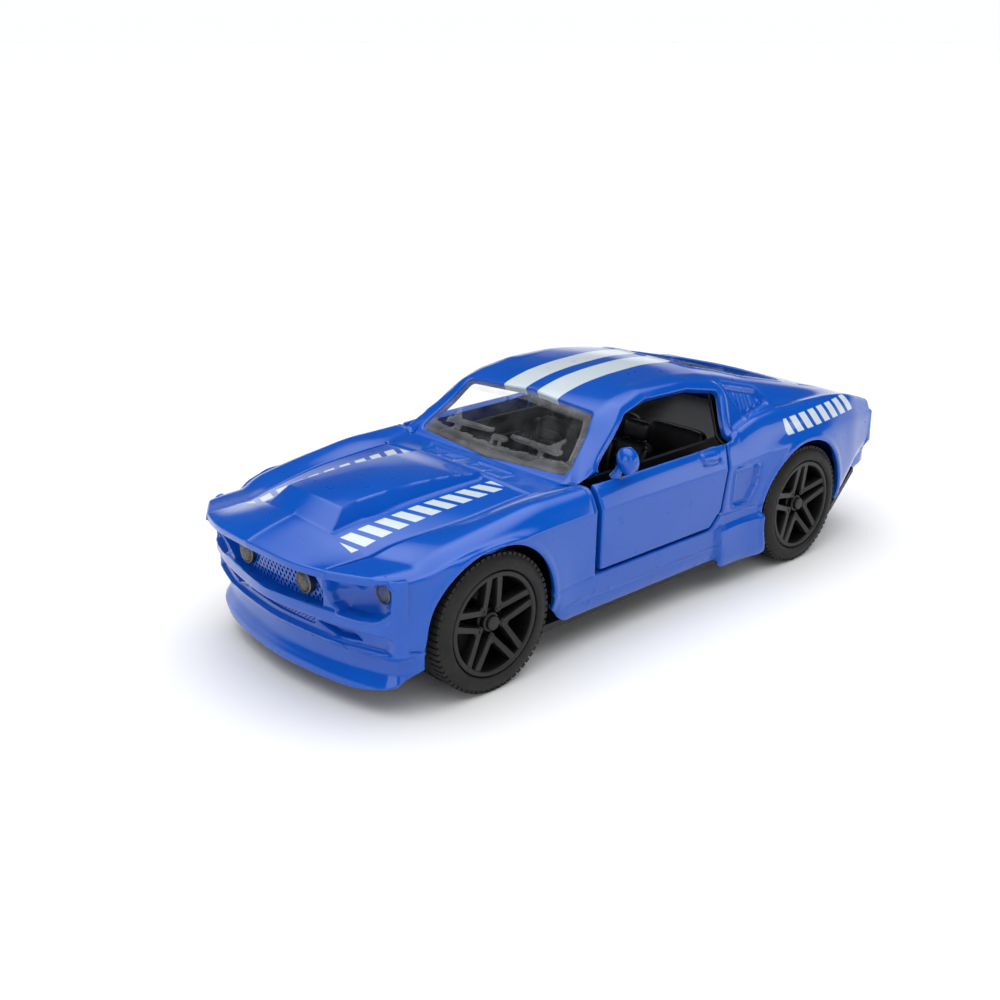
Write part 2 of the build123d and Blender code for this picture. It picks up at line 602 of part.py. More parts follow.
def make_spring_gear():
    """The gear that winds the mainspring, with the spring's arbor."""
    wheel = gear(WHEEL_TEETH, HALF_PITCH, MESH_2_Y, MESH_2_Y + GEAR_FACE, SPRING_X)
    arbor = cross_shaft(SPRING_X, AXLE_Z, 1.1, -4.6, MESH_2_Y)
    return wheel + arbor + trunnions(SPRING_X)


SPRING_STRIP = 0.25
SPRING_TURNS = 4.0


def make_mainspring():
    """The coiled strip round the arbor, its outer end held by the case."""
    inner_r = 1.6
    outer_r = WHEEL_TIP_R - 0.5
    steps = 72
    inside = []
    outside = []
    for step in range(steps + 1):
        share = step / steps
        angle = 2 * pi * SPRING_TURNS * share
        r = inner_r + (outer_r - inner_r) * share
        inside.append((r * cos(angle), r * sin(angle)))
        outside.append(((r + SPRING_STRIP) * cos(angle), (r + SPRING_STRIP) * sin(angle)))
    face = Plane.XZ * outline(inside + outside[::-1])
    coil = Pos(SPRING_X, 0.4, AXLE_Z) * extrude(face, amount=4.6)
    tail_x = SPRING_X + outer_r
    tail = block(tail_x, MOTOR_X[1] - MOTOR_WALL, -4.2, 0.4, AXLE_Z, AXLE_Z + SPRING_STRIP)
    return coil + tail


# ---------------------------------------------------------------- wheels
def make_axle(x):
    """A plain steel axle, pressed into a rim at each end."""
    end = RIM_OUTER_Y - 2.4
    return cross_shaft(x, AXLE_Z, AXLE_R, -end, end)


def make_rim(x):
    """The left rim: a barrel, a hub and five pairs of spokes."""
    inner_y = TYRE_INNER_Y + 0.4
    barrel = cross_shaft(x, AXLE_Z, RIM_R, inner_y, RIM_OUTER_Y)
    barrel -= cross_shaft(x, AXLE_Z, RIM_R - RIM_WALL, inner_y - 1, RIM_OUTER_Y + 1)
    hub = cross_shaft(x, AXLE_Z, 2.0, inner_y, RIM_OUTER_Y - 0.9)
    hub += cross_shaft(x, AXLE_Z, 3.4, RIM_OUTER_Y - 2.6, RIM_OUTER_Y - 1.5)
    spokes = hub
    for turn in range(5):
        for side in (-1, 1):
            arm = Pos(4.9, 0, side * 0.95) * Box(6.2, 1.1, 0.95)
            arm = Rot(0, turn * 72 + 54 + side * 3, 0) * arm
            spokes += Pos(x, RIM_OUTER_Y - 1.3, AXLE_Z) * arm
    spokes &= cross_shaft(x, AXLE_Z, RIM_R - 0.1, 0, FAR)
    rim = barrel + spokes
    return rim - cross_shaft(x, AXLE_Z, AXLE_R, 0, RIM_OUTER_Y - 2.4)


def make_tyre(x):
    """The left tyre: a soft ring with rounded shoulders."""
    ring = cross_shaft(x, AXLE_Z, TYRE_R, TYRE_INNER_Y, TYRE_OUTER_Y)
    rims = ring.edges().filter_by(GeomType.CIRCLE)
    ring = fillet(rims, 1.4)
    return ring - cross_shaft(x, AXLE_Z, RIM_R, 0, FAR)


# ---------------------------------------------------------------- writing
def write(name, solid):
    """Write one sub-part."""
    solid.label = name
    export_step(solid, f"parts/{name}.step")


def write_pair(name, left):
    """Write a left-hand piece and its mirror image."""
    write(f"{name}_left", left)
    write(f"{name}_right", right_side(left))


write("body_shell", make_body_shell())
write("window_glazing", make_glazing())
write("front_fascia", make_front_fascia())
write("tail_panel", make_tail_panel())
write("chassis_plate", make_chassis())
write("chassis_screws", make_screws())
write("interior_tub", make_tub())
write("dashboard", make_dashboard())
write("steering_wheel", make_steering_wheel())
write("motor_case_lower", make_motor_lower())
write("motor_case_upper", make_motor_upper())
write("mainspring", make_mainspring())
write("idler_gear", make_idler_gear())
write("spring_gear", make_spring_gear())
write("axle_pinion", make_axle_pinion())
write("front_axle", make_axle(FRONT_AXLE_X))
write("rear_axle", make_axle(REAR_AXLE_X))
write_pair("door", make_door())
write("mirror_left", make_mirror())
write_pair("headlamp", make_headlamp())
write_pair("driving_lamp", make_driving_lamp())
write_pair("tail_lamp", make_tail_lamp())
write_pair("front_rim", make_rim(FRONT_AXLE_X))
write_pair("rear_rim", make_rim(REAR_AXLE_X))
write_pair("front_tyre", make_tyre(FRONT_AXLE_X))
write_pair("rear_tyre", make_tyre(REAR_AXLE_X))
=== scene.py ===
from math import cos, pi, radians, sin

import bmesh
import bpy
import numpy as np
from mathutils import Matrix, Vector


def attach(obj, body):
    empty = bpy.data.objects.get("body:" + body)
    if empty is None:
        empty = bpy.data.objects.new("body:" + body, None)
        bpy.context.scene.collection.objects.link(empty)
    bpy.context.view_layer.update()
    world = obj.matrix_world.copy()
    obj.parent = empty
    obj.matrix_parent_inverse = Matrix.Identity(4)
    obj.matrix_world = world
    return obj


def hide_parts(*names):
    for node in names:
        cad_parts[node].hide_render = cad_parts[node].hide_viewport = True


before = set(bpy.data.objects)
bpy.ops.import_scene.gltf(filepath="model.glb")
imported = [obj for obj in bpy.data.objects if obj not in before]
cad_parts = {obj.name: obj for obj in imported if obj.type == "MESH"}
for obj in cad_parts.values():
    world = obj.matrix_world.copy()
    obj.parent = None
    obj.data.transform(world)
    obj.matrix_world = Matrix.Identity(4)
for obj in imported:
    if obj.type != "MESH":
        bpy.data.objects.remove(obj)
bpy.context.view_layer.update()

MM = 0.001                      # sizes below are in millimetres


# ==================================================================== finishes
# Every finish is a node tree. Finish wraps one, and Value wraps one socket so
# that masks read as sums. Places are in metres, as the mesh coordinates are.
class Value:
    """One number or vector in a shader, with arithmetic."""

    def __init__(self, finish, socket):
        self.finish = finish
        self.socket = socket

    def math(self, operation, *others):
        node = self.finish.tree.nodes.new("ShaderNodeMath")
        node.operation = operation
        for place, item in enumerate((self,) + others):
            self.finish.feed(node.inputs[place], item)
        return Value(self.finish, node.outputs[0])

    def __add__(self, other):
        return self.math("ADD", other)

    def __radd__(self, other):
        return self.math("ADD", other)

    def __sub__(self, other):
        return self.math("SUBTRACT", other)

    def __rsub__(self, other):
        return (self * -1.0) + other

    def __mul__(self, other):
        return self.math("MULTIPLY", other)

    def __rmul__(self, other):
        return self.math("MULTIPLY", other)

    def __truediv__(self, other):
        return self.math("DIVIDE", other)

    def over(self, edge, soft):
        """1 above the edge and 0 below it, with a soft step."""
        return ((self - edge) / soft + 0.5).math("MAXIMUM", 0.0).math("MINIMUM", 1.0)

    def within(self, low, high, soft):
        """1 between two edges."""
        return self.over(low, soft) * (1.0 - self.over(high, soft))


class Finish:
    """A node material, built up by name."""

    def __init__(self, name, base=(0.5, 0.5, 0.5), rough=0.5, metallic=0.0):
        self.material = bpy.data.materials.new(name)
        self.material.use_nodes = True
        self.tree = self.material.node_tree
        self.shader = self.tree.nodes["Principled BSDF"]
        self.set("Base Color", base)
        self.set("Roughness", rough)
        self.set("Metallic", metallic)

    def feed(self, socket, item):
        if isinstance(item, Value):
            self.tree.links.new(item.socket, socket)
        elif hasattr(item, "__len__"):
            wide = len(socket.default_value)
            socket.default_value = (tuple(item) + (1.0,))[:wide]
        else:
            socket.default_value = item

    def set(self, socket_name, item):
        self.feed(self.shader.inputs[socket_name], item)

    def node(self, kind, output=0, settings=None, **inputs):
        """Any other node: its settings, its inputs by name, and one output."""
        node = self.tree.nodes.new(kind)
        for key, item in (settings or {}).items():
            setattr(node, key, item)
        for key, item in inputs.items():
            self.feed(node.inputs[key.replace("_", " ")], item)
        return Value(self, node.outputs[output])

    def place(self):
        return self.node("ShaderNodeTexCoord", "Object")

    def axes(self):
        split = self.tree.nodes.new("ShaderNodeSeparateXYZ")
        self.feed(split.inputs[0], self.place())
        return [Value(self, split.outputs[k]) for k in range(3)]

    def noise(self, scale, detail=3.0, rough=0.5):
        return self.node("ShaderNodeTexNoise", "Fac", Vector=self.place(), Scale=scale,
                         Detail=detail, Roughness=rough)

    def mix(self, factor, a, b):
        node = self.tree.nodes.new("ShaderNodeMix")
        node.data_type = "RGBA"
        self.feed(node.inputs[0], factor)
        self.feed(node.inputs[6], a)
        self.feed(node.inputs[7], b)
        return Value(self, node.outputs[2])

    def bump(self, height, distance, strength=1.0):
        bump = self.node("ShaderNodeBump", "Normal", Height=height, Distance=distance,
                         Strength=strength)
        self.set("Normal", bump)

    def edge_highlight(self, low=0.52, high=0.6):
        """A painted highlight: bright on sharp outward edges."""
        point = self.node("ShaderNodeNewGeometry", "Pointiness")
        return point.over((low + high) / 2, high - low)


BLUE = (0.002, 0.098, 0.53)
DEEP_BLUE = (0.001, 0.078, 0.46)
WHITE = (0.60, 0.68, 0.74)
STRIPE_IN, STRIPE_OUT = 0.0014, 0.0066       # roof stripe edges, from the centre line


def white_graphics(finish):
    """Mask for the roof stripes and for plain slanted bars on hood and quarters."""
    x, y, z = finish.axes()
    side = y.math("ABSOLUTE")
    soft = 0.00012
    roof = side.within(STRIPE_IN, STRIPE_OUT, soft) * x.within(-0.0215, 0.0105, soft)
    roof = roof * z.over(0.0300, soft)
    lean = x + side * 0.45
    bars = (lean / 0.0031).math("FRACT").within(0.16, 0.80, 0.05)
    hood = bars * side.within(0.0102, 0.0139, soft) * x.within(0.0275, 0.0575, soft)
    hood = hood * z.over(0.0228, soft)
    flank_lean = x - z * 0.5
    flank_bars = (flank_lean / 0.0030).math("FRACT").within(0.14, 0.78, 0.05)
    rise = z - x * -0.012
    flank = flank_bars * rise.within(0.0251, 0.0279, soft) * x.within(-0.0525, -0.0295, soft)
    flank = flank * side.over(0.0222, soft)
    return (roof + hood + flank).math("MINIMUM", 1.0)


def paint_finish(name, graphics):
    """Gloss enamel: even blue, a faint ripple and a clear coat."""
    finish = Finish(name, BLUE, 0.3)
    cloud = finish.noise(60.0, 2.0)
    blue = finish.mix(cloud.within(0.35, 0.9, 0.5), BLUE, DEEP_BLUE)
    if graphics:
        blue = finish.mix(white_graphics(finish), blue, WHITE)
    finish.set("Base Color", blue)
    finish.set("Roughness", finish.noise(400.0) * 0.10 + 0.24)
    finish.set("Specular IOR Level", 0.10)
    finish.set("Coat Weight", 0.85)
    finish.set("Coat Roughness", 0.05)
    finish.bump(finish.noise(230.0, 2.0), 0.00006, 0.25)
    return finish.material


def plastic_finish(name, colour, rough=0.42, grain=2600.0, depth=0.00002, edge_highlight_share=0.35):
    """Moulded plastic: a fine spark-eroded grain, and sharp edges made slightly paler as a painted
    highlight.
    """
    finish = Finish(name, colour, rough)
    highlight_tint = tuple(min(1.0, c * 2.0 + 0.008) for c in colour)
    shade = finish.mix(finish.noise(180.0) * 0.5, colour, tuple(c * 0.7 for c in colour))
    # Sharp edges are mixed toward a paler tint: a painted highlight.
    finish.set("Base Color", finish.mix(finish.edge_highlight() * edge_highlight_share, shade, highlight_tint))
    finish.set("Roughness", finish.noise(700.0) * 0.18 + (rough - 0.09))
    finish.set("Specular IOR Level", 0.4)
    finish.bump(finish.noise(grain, 4.0), depth)
    return finish.material


def rubber_finish():
    """Soft tyre rubber: matt, dusty in the grooves, faintly uneven."""
    finish = Finish("tyre_rubber", (0.02, 0.02, 0.018), 0.7)
    dust = finish.noise(240.0, 5.0).within(0.45, 0.85, 0.25)
    finish.set("Base Color", finish.mix(dust * 0.4, (0.007, 0.007, 0.0065), (0.022, 0.022, 0.020)))
    finish.set("Roughness", finish.noise(900.0) * 0.2 + 0.52)
    finish.set("Specular IOR Level", 0.3)
    finish.bump(finish.noise(3200.0, 5.0), 0.00004)
    return finish.material


def metal_finish(name, colour, rough=0.3):
    """Plain turned or rolled steel with fine tool marks."""
    finish = Finish(name, colour, rough, 1.0)
    finish.set("Base Color", finish.mix(finish.noise(300.0), colour, tuple(c * 0.7 for c in colour)))
    finish.set("Roughness", finish.noise(1200.0) * 0.25 + rough)
    finish.bump(finish.noise(4000.0), 0.00001)
    return finish.material


def clear_finish(name, colour, rough, cover):
    """Clear moulded plastic: mostly see-through, with sharp reflections and haze."""
    finish = Finish(name, colour, rough)
    haze = finish.noise(320.0, 4.0).within(0.5, 0.9, 0.3)
    finish.set("Base Color", finish.mix(haze, colour, tuple(min(1.0, c + 0.15) for c in colour)))
    finish.set("Alpha", haze * 0.05 + cover)
    finish.set("Roughness", haze * 0.08 + rough)
    finish.set("Specular IOR Level", 0.35)
    finish.bump(finish.noise(300.0), 0.00002, 0.3)
    return finish.material


body_paint = paint_finish("body_paint", True)
trim_paint = paint_finish("trim_paint", False)
black_plastic = plastic_finish("black_plastic", (0.006, 0.006, 0.0065), 0.45)
rim_plastic = plastic_finish("rim_plastic", (0.0035, 0.0035, 0.0035), 0.40, 3400.0, 0.000012, 0.3)
seat_plastic = plastic_finish("seat_plastic", (0.003, 0.003, 0.004), 0.36)
gear_plastic = plastic_finish("gear_plastic", (0.70, 0.67, 0.58), 0.45)
tyre_rubber = rubber_finish()
steel = metal_finish("screw_steel", (0.56, 0.56, 0.57))
window_clear = clear_finish("clear_plastic", (0.10, 0.11, 0.12), 0.04, 0.07)
frame_clear = clear_finish("frame_clear", (0.50, 0.50, 0.50), 0.05, 0.13)
lamp_clear = clear_finish("lamp_smoke", (0.10, 0.085, 0.06), 0.05, 0.42)
reflector = metal_finish("lamp_reflector", (0.16, 0.15, 0.13), 0.25)
lamp_red = clear_finish("lamp_red", (0.42, 0.012, 0.01), 0.08, 0.93)


# ==================================================================== surfaces
# Helpers for the cast skins: guide curves along the car, flat distance fields
# for openings, and a patch of surface that is trimmed to them with rolled edges.
def guide(*points):
    """A smooth monotone curve through (place, value) points."""
    xs, ys = np.array(sorted(points), float).T
    gap = np.diff(xs)
    rise = np.diff(ys) / gap
    slope = np.zeros(len(xs))
    slope[0] = rise[0]
    slope[-1] = rise[-1]
    for k in range(1, len(xs) - 1):
        if rise[k - 1] * rise[k] > 0:
            after = 2 * gap[k] + gap[k - 1]
            before = gap[k] + 2 * gap[k - 1]
            slope[k] = (after + before) / (after / rise[k - 1] + before / rise[k])

    def value(x):
        x = np.clip(x, xs[0], xs[-1])
        k = np.clip(np.searchsorted(xs, x) - 1, 0, len(gap) - 1)
        t = (x - xs[k]) / gap[k]
        start = (2 * t**3 - 3 * t**2 + 1) * ys[k] + (t**3 - 2 * t**2 + t) * gap[k] * slope[k]
        end = (3 * t**2 - 2 * t**3) * ys[k + 1] + (t**3 - t**2) * gap[k] * slope[k + 1]
        return start + end

    return value


def smooth(x, low, high):
    """0 at low, 1 at high, eased between."""
    t = np.clip((x - low) / (high - low), 0.0, 1.0)
    return t * t * (3 - 2 * t)


def polygon_distance(px, py, corners, round_by=0.0):
    """Signed distance to a polygon: negative inside."""
    corners = np.array(corners, float)
    nearest = np.full(px.shape, 1e18)
    inside = np.zeros(px.shape, bool)
    before = corners[-1]
    for corner in corners:
        edge = before - corner
        ax = px - corner[0]
        ay = py - corner[1]
        along = np.clip((ax * edge[0] + ay * edge[1]) / (edge @ edge), 0, 1)
        nearest = np.minimum(nearest, (ax - edge[0] * along) ** 2 + (ay - edge[1] * along) ** 2)
        crosses = (corner[1] > py) != (before[1] > py)
        with np.errstate(divide="ignore", invalid="ignore"):
            where = edge[0] * (py - corner[1]) / edge[1] + corner[0]
        inside ^= crosses & (px < where)
        before = corner
    distance = np.sqrt(nearest)
    return np.where(inside, -distance, distance) - round_by


def segment_distance(px, py, a, b):
    """Distance to a straight stroke."""
    a = np.array(a, float)
    b = np.array(b, float)
    run = b - a
    along = np.clip(((px - a[0]) * run[0] + (py - a[1]) * run[1]) / (run @ run), 0, 1)
    return np.hypot(px - a[0] - run[0] * along, py - a[1] - run[1] * along)


def graded(start, stop, step, fine=()):
    """Grid lines from start to stop, closer together near each (place, reach, step)."""
    places = [start]
    while places[-1] < stop - 1e-9:
        here = places[-1]
        size = step
        for place, reach, small in fine:
            share = min(1.0, max(0.0, (abs(here - place) - reach) / (4 * reach)))
            size = min(size, small + (step - small) * share)
        places.append(here + size)
    places[-1] = stop
    return np.array(places)


def steps_of(surface, u, t):
    """The surface's points and its two unit-step tangents, by central difference."""
    hu, ht = 0.05, 0.004
    across_u = (surface(u + hu, t) - surface(u - hu, t)) / (2 * hu)
    across_t = (surface(u, t + ht) - surface(u, t - ht)) / (2 * ht)
    return surface(u, t), across_u, across_t


def unit(v):
    return v / np.maximum(np.linalg.norm(v, axis=-1, keepdims=True), 1e-12)


def trimmed_patch(surface, us, ts, keep, roll=0.35, depth=1.2, seam=True, back=False):
    """Points and faces of a surface where keep > 0, with its edges rolled inward.

    Grid points just outside are slid along the surface onto the edge. The roll is a
    quarter round of the given radius, then a flange of the given depth. With seam,
    the edge at the first t is left open for the mirror image. With back, the patch
    gets an inner face.
    """
    u, t = np.meshgrid(us, ts, indexing="ij")
    shape = u.shape
    u = u.ravel()
    t = t.ravel()
    distance = keep(surface(u, t)).reshape(shape)
    kept = distance >= 0
    near = np.zeros(shape, bool)
    padded = np.pad(kept, 1)
    for du in (0, 1, 2):
        for dt in (0, 1, 2):
            near |= padded[du:du + shape[0], dt:dt + shape[1]]
    snap = (near & ~kept).ravel()
    su = u[snap]
    st = t[snap]
    for _ in range(6):
        if not len(su):
            break
        p, pu, pt = steps_of(surface, su, st)
        long_u = np.linalg.norm(pu, axis=1) + 1e-9
        long_t = np.linalg.norm(pt, axis=1) + 1e-9
        hu = 0.02 / long_u
        ht = 0.02 / long_t
        d = keep(p)
        gu = (keep(surface(su + hu, st)) - d) / 0.02
        gt = (keep(surface(su, st + ht)) - d) / 0.02
        size = np.maximum(gu * gu + gt * gt, 0.05)
        su = su - np.clip(d * gu / size, -0.4, 0.4) / long_u
        st = st - np.clip(d * gt / size, -0.4, 0.4) / long_t
        su = np.clip(su, us[0], us[-1])
        st = np.clip(st, ts[0], ts[-1])
    u[snap] = su
    t[snap] = st
    points, pu, pt = steps_of(surface, u, t)
    normals = unit(np.cross(pu, pt))
    usable = (kept.ravel() | snap)
    index = np.arange(len(u)).reshape(shape)
    quads = np.stack([index[:-1, :-1], index[1:, :-1], index[1:, 1:], index[:-1, 1:]], -1).reshape(-1, 4)
    good = usable[quads].all(1) & kept.ravel()[quads].any(1)
    quads = quads[good]
    # boundary edges: used by one face only
    edges = np.concatenate([quads[:, [k, (k + 1) % 4]] for k in range(4)])
    key = edges.min(1) * np.int64(len(u)) + edges.max(1)
    _, first, count = np.unique(key, return_index=True, return_counts=True)
    rim = edges[first[count == 1]]
    if seam:
        at_seam = np.abs(t[rim] - ts[0]).max(1) < 1e-9
        rim = rim[~at_seam]
    outward = np.zeros_like(points)
    along = unit(points[rim[:, 1]] - points[rim[:, 0]])
    for end in (0, 1):
        aside = np.cross(along, normals[rim[:, end]])
        np.add.at(outward, rim[:, end], aside)
    outward = unit(outward)
    if seam:
        on_seam = np.abs(t - ts[0]) < 1e-9
        outward[on_seam, 1] = 0.0
        outward = unit(outward)
    verts = [points]
    faces = [quads]
    total = len(points)
    ring = np.unique(rim)
    slot_of = np.full(len(u), -1)
    slot_of[ring] = np.arange(len(ring))
    last = rim.copy()
    levels = [(roll * sin(a), roll * (1 - cos(a))) for a in (pi / 6, pi / 3, pi / 2)]
    levels.append((roll, roll + depth))
    for out, down in levels:
        layer = points[ring] + outward[ring] * out - normals[ring] * down
        fresh = slot_of[rim] + total
        faces.append(np.stack([last[:, 1], last[:, 0], fresh[:, 0], fresh[:, 1]], -1))
        verts.append(layer)
        total += len(ring)
        last = fresh
    if back:
        inner = points - normals * (depth + roll)
        verts.append(inner)
        lower = quads + total
        faces.append(lower[:, ::-1])
        rim_in = rim + total
        faces.append(np.stack([last[:, 1], last[:, 0], rim_in[:, 0], rim_in[:, 1]], -1))
    verts = np.concatenate(verts)
    faces = np.concatenate(faces)
    used, flat = np.unique(faces, return_inverse=True)
    return verts[used], flat.reshape(faces.shape)


def other_side(verts, faces):
    """The mirror image of points and faces, turned so that they still face out."""
    return verts * np.array([1, -1, 1]), faces[:, ::-1]


def both_sides(verts, faces):
    """A left half and its mirror image."""
    verts_r, faces_r = other_side(verts, faces)
    return np.concatenate([verts, verts_r]), np.concatenate([faces, faces_r + len(verts)])


def piece(name, verts, faces, material, body="body", replaces=(), slot=None, merge=0.01,
          sharp=40, outward=False):
    """A finished mesh object in the row frame, from millimetre points."""
    mesh = bpy.data.meshes.new(name)
    faces = [[int(i) for i in dict.fromkeys(face)] for face in faces]
    faces = [face for face in faces if len(face) > 2]
    mesh.from_pydata([tuple(v) for v in np.asarray(verts, float) * MM], [], faces)
    build = bmesh.new()
    build.from_mesh(mesh)
    bmesh.ops.remove_doubles(build, verts=build.verts, dist=merge * MM)
    loose = [v for v in build.verts if not v.link_faces]
    bmesh.ops.delete(build, geom=loose, context="VERTS")
    if outward:
        bmesh.ops.recalc_face_normals(build, faces=build.faces)
    build.to_mesh(mesh)
    build.free()
    mesh.materials.append(material)
    return settle(name, mesh, body, replaces, sharp)


def settle(name, mesh, body, replaces=(), sharp=40):
    """Puts a mesh in the scene, shades it, hangs it on the body it rides on, and hides the parts it
    replaces.
    """
    mesh.shade_smooth()
    mesh.set_sharp_from_angle(angle=radians(sharp))
    made = bpy.data.objects.new(name, mesh)
    bpy.context.scene.collection.objects.link(made)
    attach(made, body)
    if replaces:
        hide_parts(*replaces)
    return made


# ==================================================================== body shape
# The car's skin as one surface: u is the place along the centre line, and t runs
# from the roof's middle (0) over the shoulder to the sill's lower edge (8).
REAR_X = -35.2
FRONT_X = 40.8
AXLE_Z = 11.1
ARCH_R = 12.2
NOSE = 66.0
TAIL = -64.6

centre_z = guide((66, 23.6), (64.8, 24.1), (60.5, 25.4), (57.7, 26.0), (50, 26.5), (40, 26.7),
                 (28, 26.6), (22, 26.2), (20.3, 26.2), (19.3, 26.8), (14.4, 31.4), (10.0, 35.4),
                 (8.6, 36.1), (6.1, 36.8), (2.2, 37.5), (-4, 38.0), (-10.3, 38.15), (-19.2, 37.4),
                 (-31.5, 34.8), (-43.3, 31.4), (-54.4, 28.1), (-62, 25.6), (-64.6, 24.7))
crown = guide((66, 0.4), (57.7, 1.2), (50, 0.9), (40, 0.5), (28, 0.2), (20, 0.1), (9.8, 0.3),
              (0, 0.3), (-20, 0.25), (-45, 0.2), (-64.6, 0.0))
edge_y = guide((66, 15.6), (53, 16.2), (38, 18.2), (27, 17.9), (22, 18.8), (19.5, 20.4),
               (18.5, 20.8), (13, 19.2), (9.4, 18.1), (4, 17.4), (-8, 17.3), (-20, 17.2),
               (-31, 16.8), (-45, 15.8), (-64.6, 15.0))
edge_z = guide((66, 22.9), (58, 22.9), (53, 23.7), (38, 25.1), (27, 25.8), (22, 25.9),
               (20, 26.2), (18.5, 27.4), (13, 31.4), (9.4, 34.9), (4, 36.7), (-1, 37.3),
               (-8, 37.4), (-17.5, 36.4), (-21, 35.6), (-30, 33.4), (-45, 30.2), (-55, 27.8),
               (-64.6, 24.9))
belt_y = guide((66, 19.5), (57, 20.0), (40, 20.8), (27, 20.6), (21, 21.2), (18.5, 21.8),
               (13, 22.2), (-14, 22.5), (-20, 21.6), (-28, 20.8), (-34, 20.4), (-45, 20.2),
               (-64.6, 19.5))
belt_z = guide((66, 22.6), (57, 22.6), (48, 24.3), (38, 25.7), (28, 26.6), (21, 26.6),
               (18.5, 26.8), (-14, 27.2), (-19, 28.0), (-24, 28.7), (-31, 29.2), (-38, 29.2),
               (-45, 29.0), (-54, 27.8), (-61.3, 26.0), (-64.6, 25.0))
shoulder_y = guide((66, 22.0), (64, 22.6), (58, 23.0), (50, 23.5), (30, 24.1), (18, 24.3), (-14, 24.3),
                   (-20, 24.0), (-28, 23.8), (-40, 23.4), (-52, 23.0), (-64.6, 21.6))
shoulder_z = guide((66, 22.5), (58, 22.5), (48, 24.2), (38, 25.8), (29, 26.8), (20, 26.8),
                   (10, 27.1), (-12, 27.5), (-16.2, 28.0), (-19.4, 29.4), (-23.4, 30.4),
                   (-28.4, 30.6), (-34.2, 30.1), (-41, 29.7), (-48.9, 29.0), (-61.3, 26.9),
                   (-64.6, 25.8))
crease_y = guide((66, 22.8), (64.8, 23.7), (62.5, 24.2), (58, 24.5), (52, 25.3), (41, 26.1),
                 (28, 25.9), (0, 25.7),
                 (-14, 25.8), (-28, 26.3), (-35, 26.4), (-43, 26.0), (-50, 25.2), (-61, 23.6),
                 (-64.6, 22.9))
crease_z = guide((66, 21.2), (58, 21.4), (50, 22.4), (41, 23.1), (20, 23.2), (-14, 22.9),
                 (-28, 23.4), (-40, 23.8), (-52, 23.6), (-64.6, 23.0))
flank_y = guide((66, 23.4), (64.6, 24.25), (62.5, 24.5), (58, 24.8), (52, 25.2), (41, 25.6),
                (20, 25.2), (-14, 25.2),
                (-28, 25.6), (-35, 25.8), (-50, 25.0), (-61, 23.5), (-64.6, 22.8))
flank_z = guide((66, 13.5), (28, 12.5), (-14, 12.3), (-45, 14.5), (-64.6, 18.4))
hem_z = guide((66, 10.3), (55, 10.3), (28.5, 9.9), (26.4, 7.4), (24.6, 6.3), (-12.0, 6.3),
              (-13.4, 5.2), (-22.6, 5.2), (-25.0, 6.5), (-46.5, 9.0), (-51, 11.3), (-57, 13.8),
              (-62, 15.4), (-64.6, 16.0))
edge_round = guide((66, 0.08), (28, 0.10), (22, 0.30), (18.5, 0.24), (9, 0.30), (0, 0.42),
                   (-20, 0.42), (-31, 0.32), (-45, 0.40), (-64.6, 0.45))
belt_round = guide((66, 0.5), (28, 0.5), (18, 0.3), (-14, 0.3), (-30, 0.28), (-50, 0.42),
                   (-64.6, 0.5))
crease_round = guide((66, 0.14), (48, 0.06), (28, 0.03), (-14, 0.03), (-20, 0.05), (-30, 0.22),
                     (-64.6, 0.2))
nose_drop = guide((0, 0.0), (8, 0.6), (15, 2.5), (20, 5.5), (23.5, 7.8), (25, 8.4), (30, 8.5))
tail_drop = guide((0, 0.0), (15, 0.9), (22, 3.4), (26, 4.6), (30, 4.8))


def body_base(u, t):
    """The plain skin, before its raised and sunken details."""
    u_in = np.clip(u, TAIL, NOSE)
    top = centre_z(u_in)
    ys = np.stack([-9.0 + 0 * u_in, 0 * u_in, 9.0 + 0 * u_in, edge_y(u_in), belt_y(u_in),
                   shoulder_y(u_in), crease_y(u_in), flank_y(u_in), flank_y(u_in) - 0.1,
                   flank_y(u_in) - 0.6, flank_y(u_in) - 1.2], -1)
    low = hem_z(u_in)
    side = top - crown(u_in)
    zs = np.stack([side, top, side, edge_z(u_in), belt_z(u_in), shoulder_z(u_in),
                   crease_z(u_in), flank_z(u_in), low + 1.6, low, low - 1.2], -1)
    half = 0.5 + 0 * u_in
    cuts = np.stack([half, half, half, edge_round(u_in), belt_round(u_in), half,
                     crease_round(u_in), half, half, half, half], -1)
    t = np.clip(t, 0.0, 8.0) + 1.0          # places count from the mirrored first point
    k = np.clip(np.floor(t).astype(int), 1, 8)
    s = t - k
    rows = np.arange(len(u_in))

    def corner(offset):
        j = np.clip(k + offset, 0, 10)
        return np.stack([ys[rows, j], zs[rows, j]], -1)

    here, after = corner(0), corner(1)
    a = cuts[rows, k]
    b = cuts[rows, np.clip(k + 1, 0, 10)]
    straight = here + (after - here) * s[:, None]

    def round_off(point, before, beyond, cut, share):
        start = point + (before - point) * cut[:, None]
        end = point + (beyond - point) * cut[:, None]
        w = share[:, None]
        return start * (1 - w) ** 2 + 2 * point * w * (1 - w) + end * w * w

    leaving = round_off(here, corner(-1), after, a, np.clip(0.5 + 0.5 * s / a, 0, 1))
    arriving = round_off(after, here, corner(2), b, np.clip(0.5 * (s - 1 + b) / b, 0, 1))
    yz = np.where((s < a)[:, None], leaving, np.where((s > 1 - b)[:, None], arriving, straight))
    y, z = yz[:, 0], yz[:, 1]
    ahead = smooth(u, 46.0, NOSE)
    behind = 1 - smooth(u, TAIL, -50.0)
    x = u - nose_drop(np.abs(y)) * ahead + tail_drop(np.abs(y)) * behind
    return np.stack([x, y, z], -1)


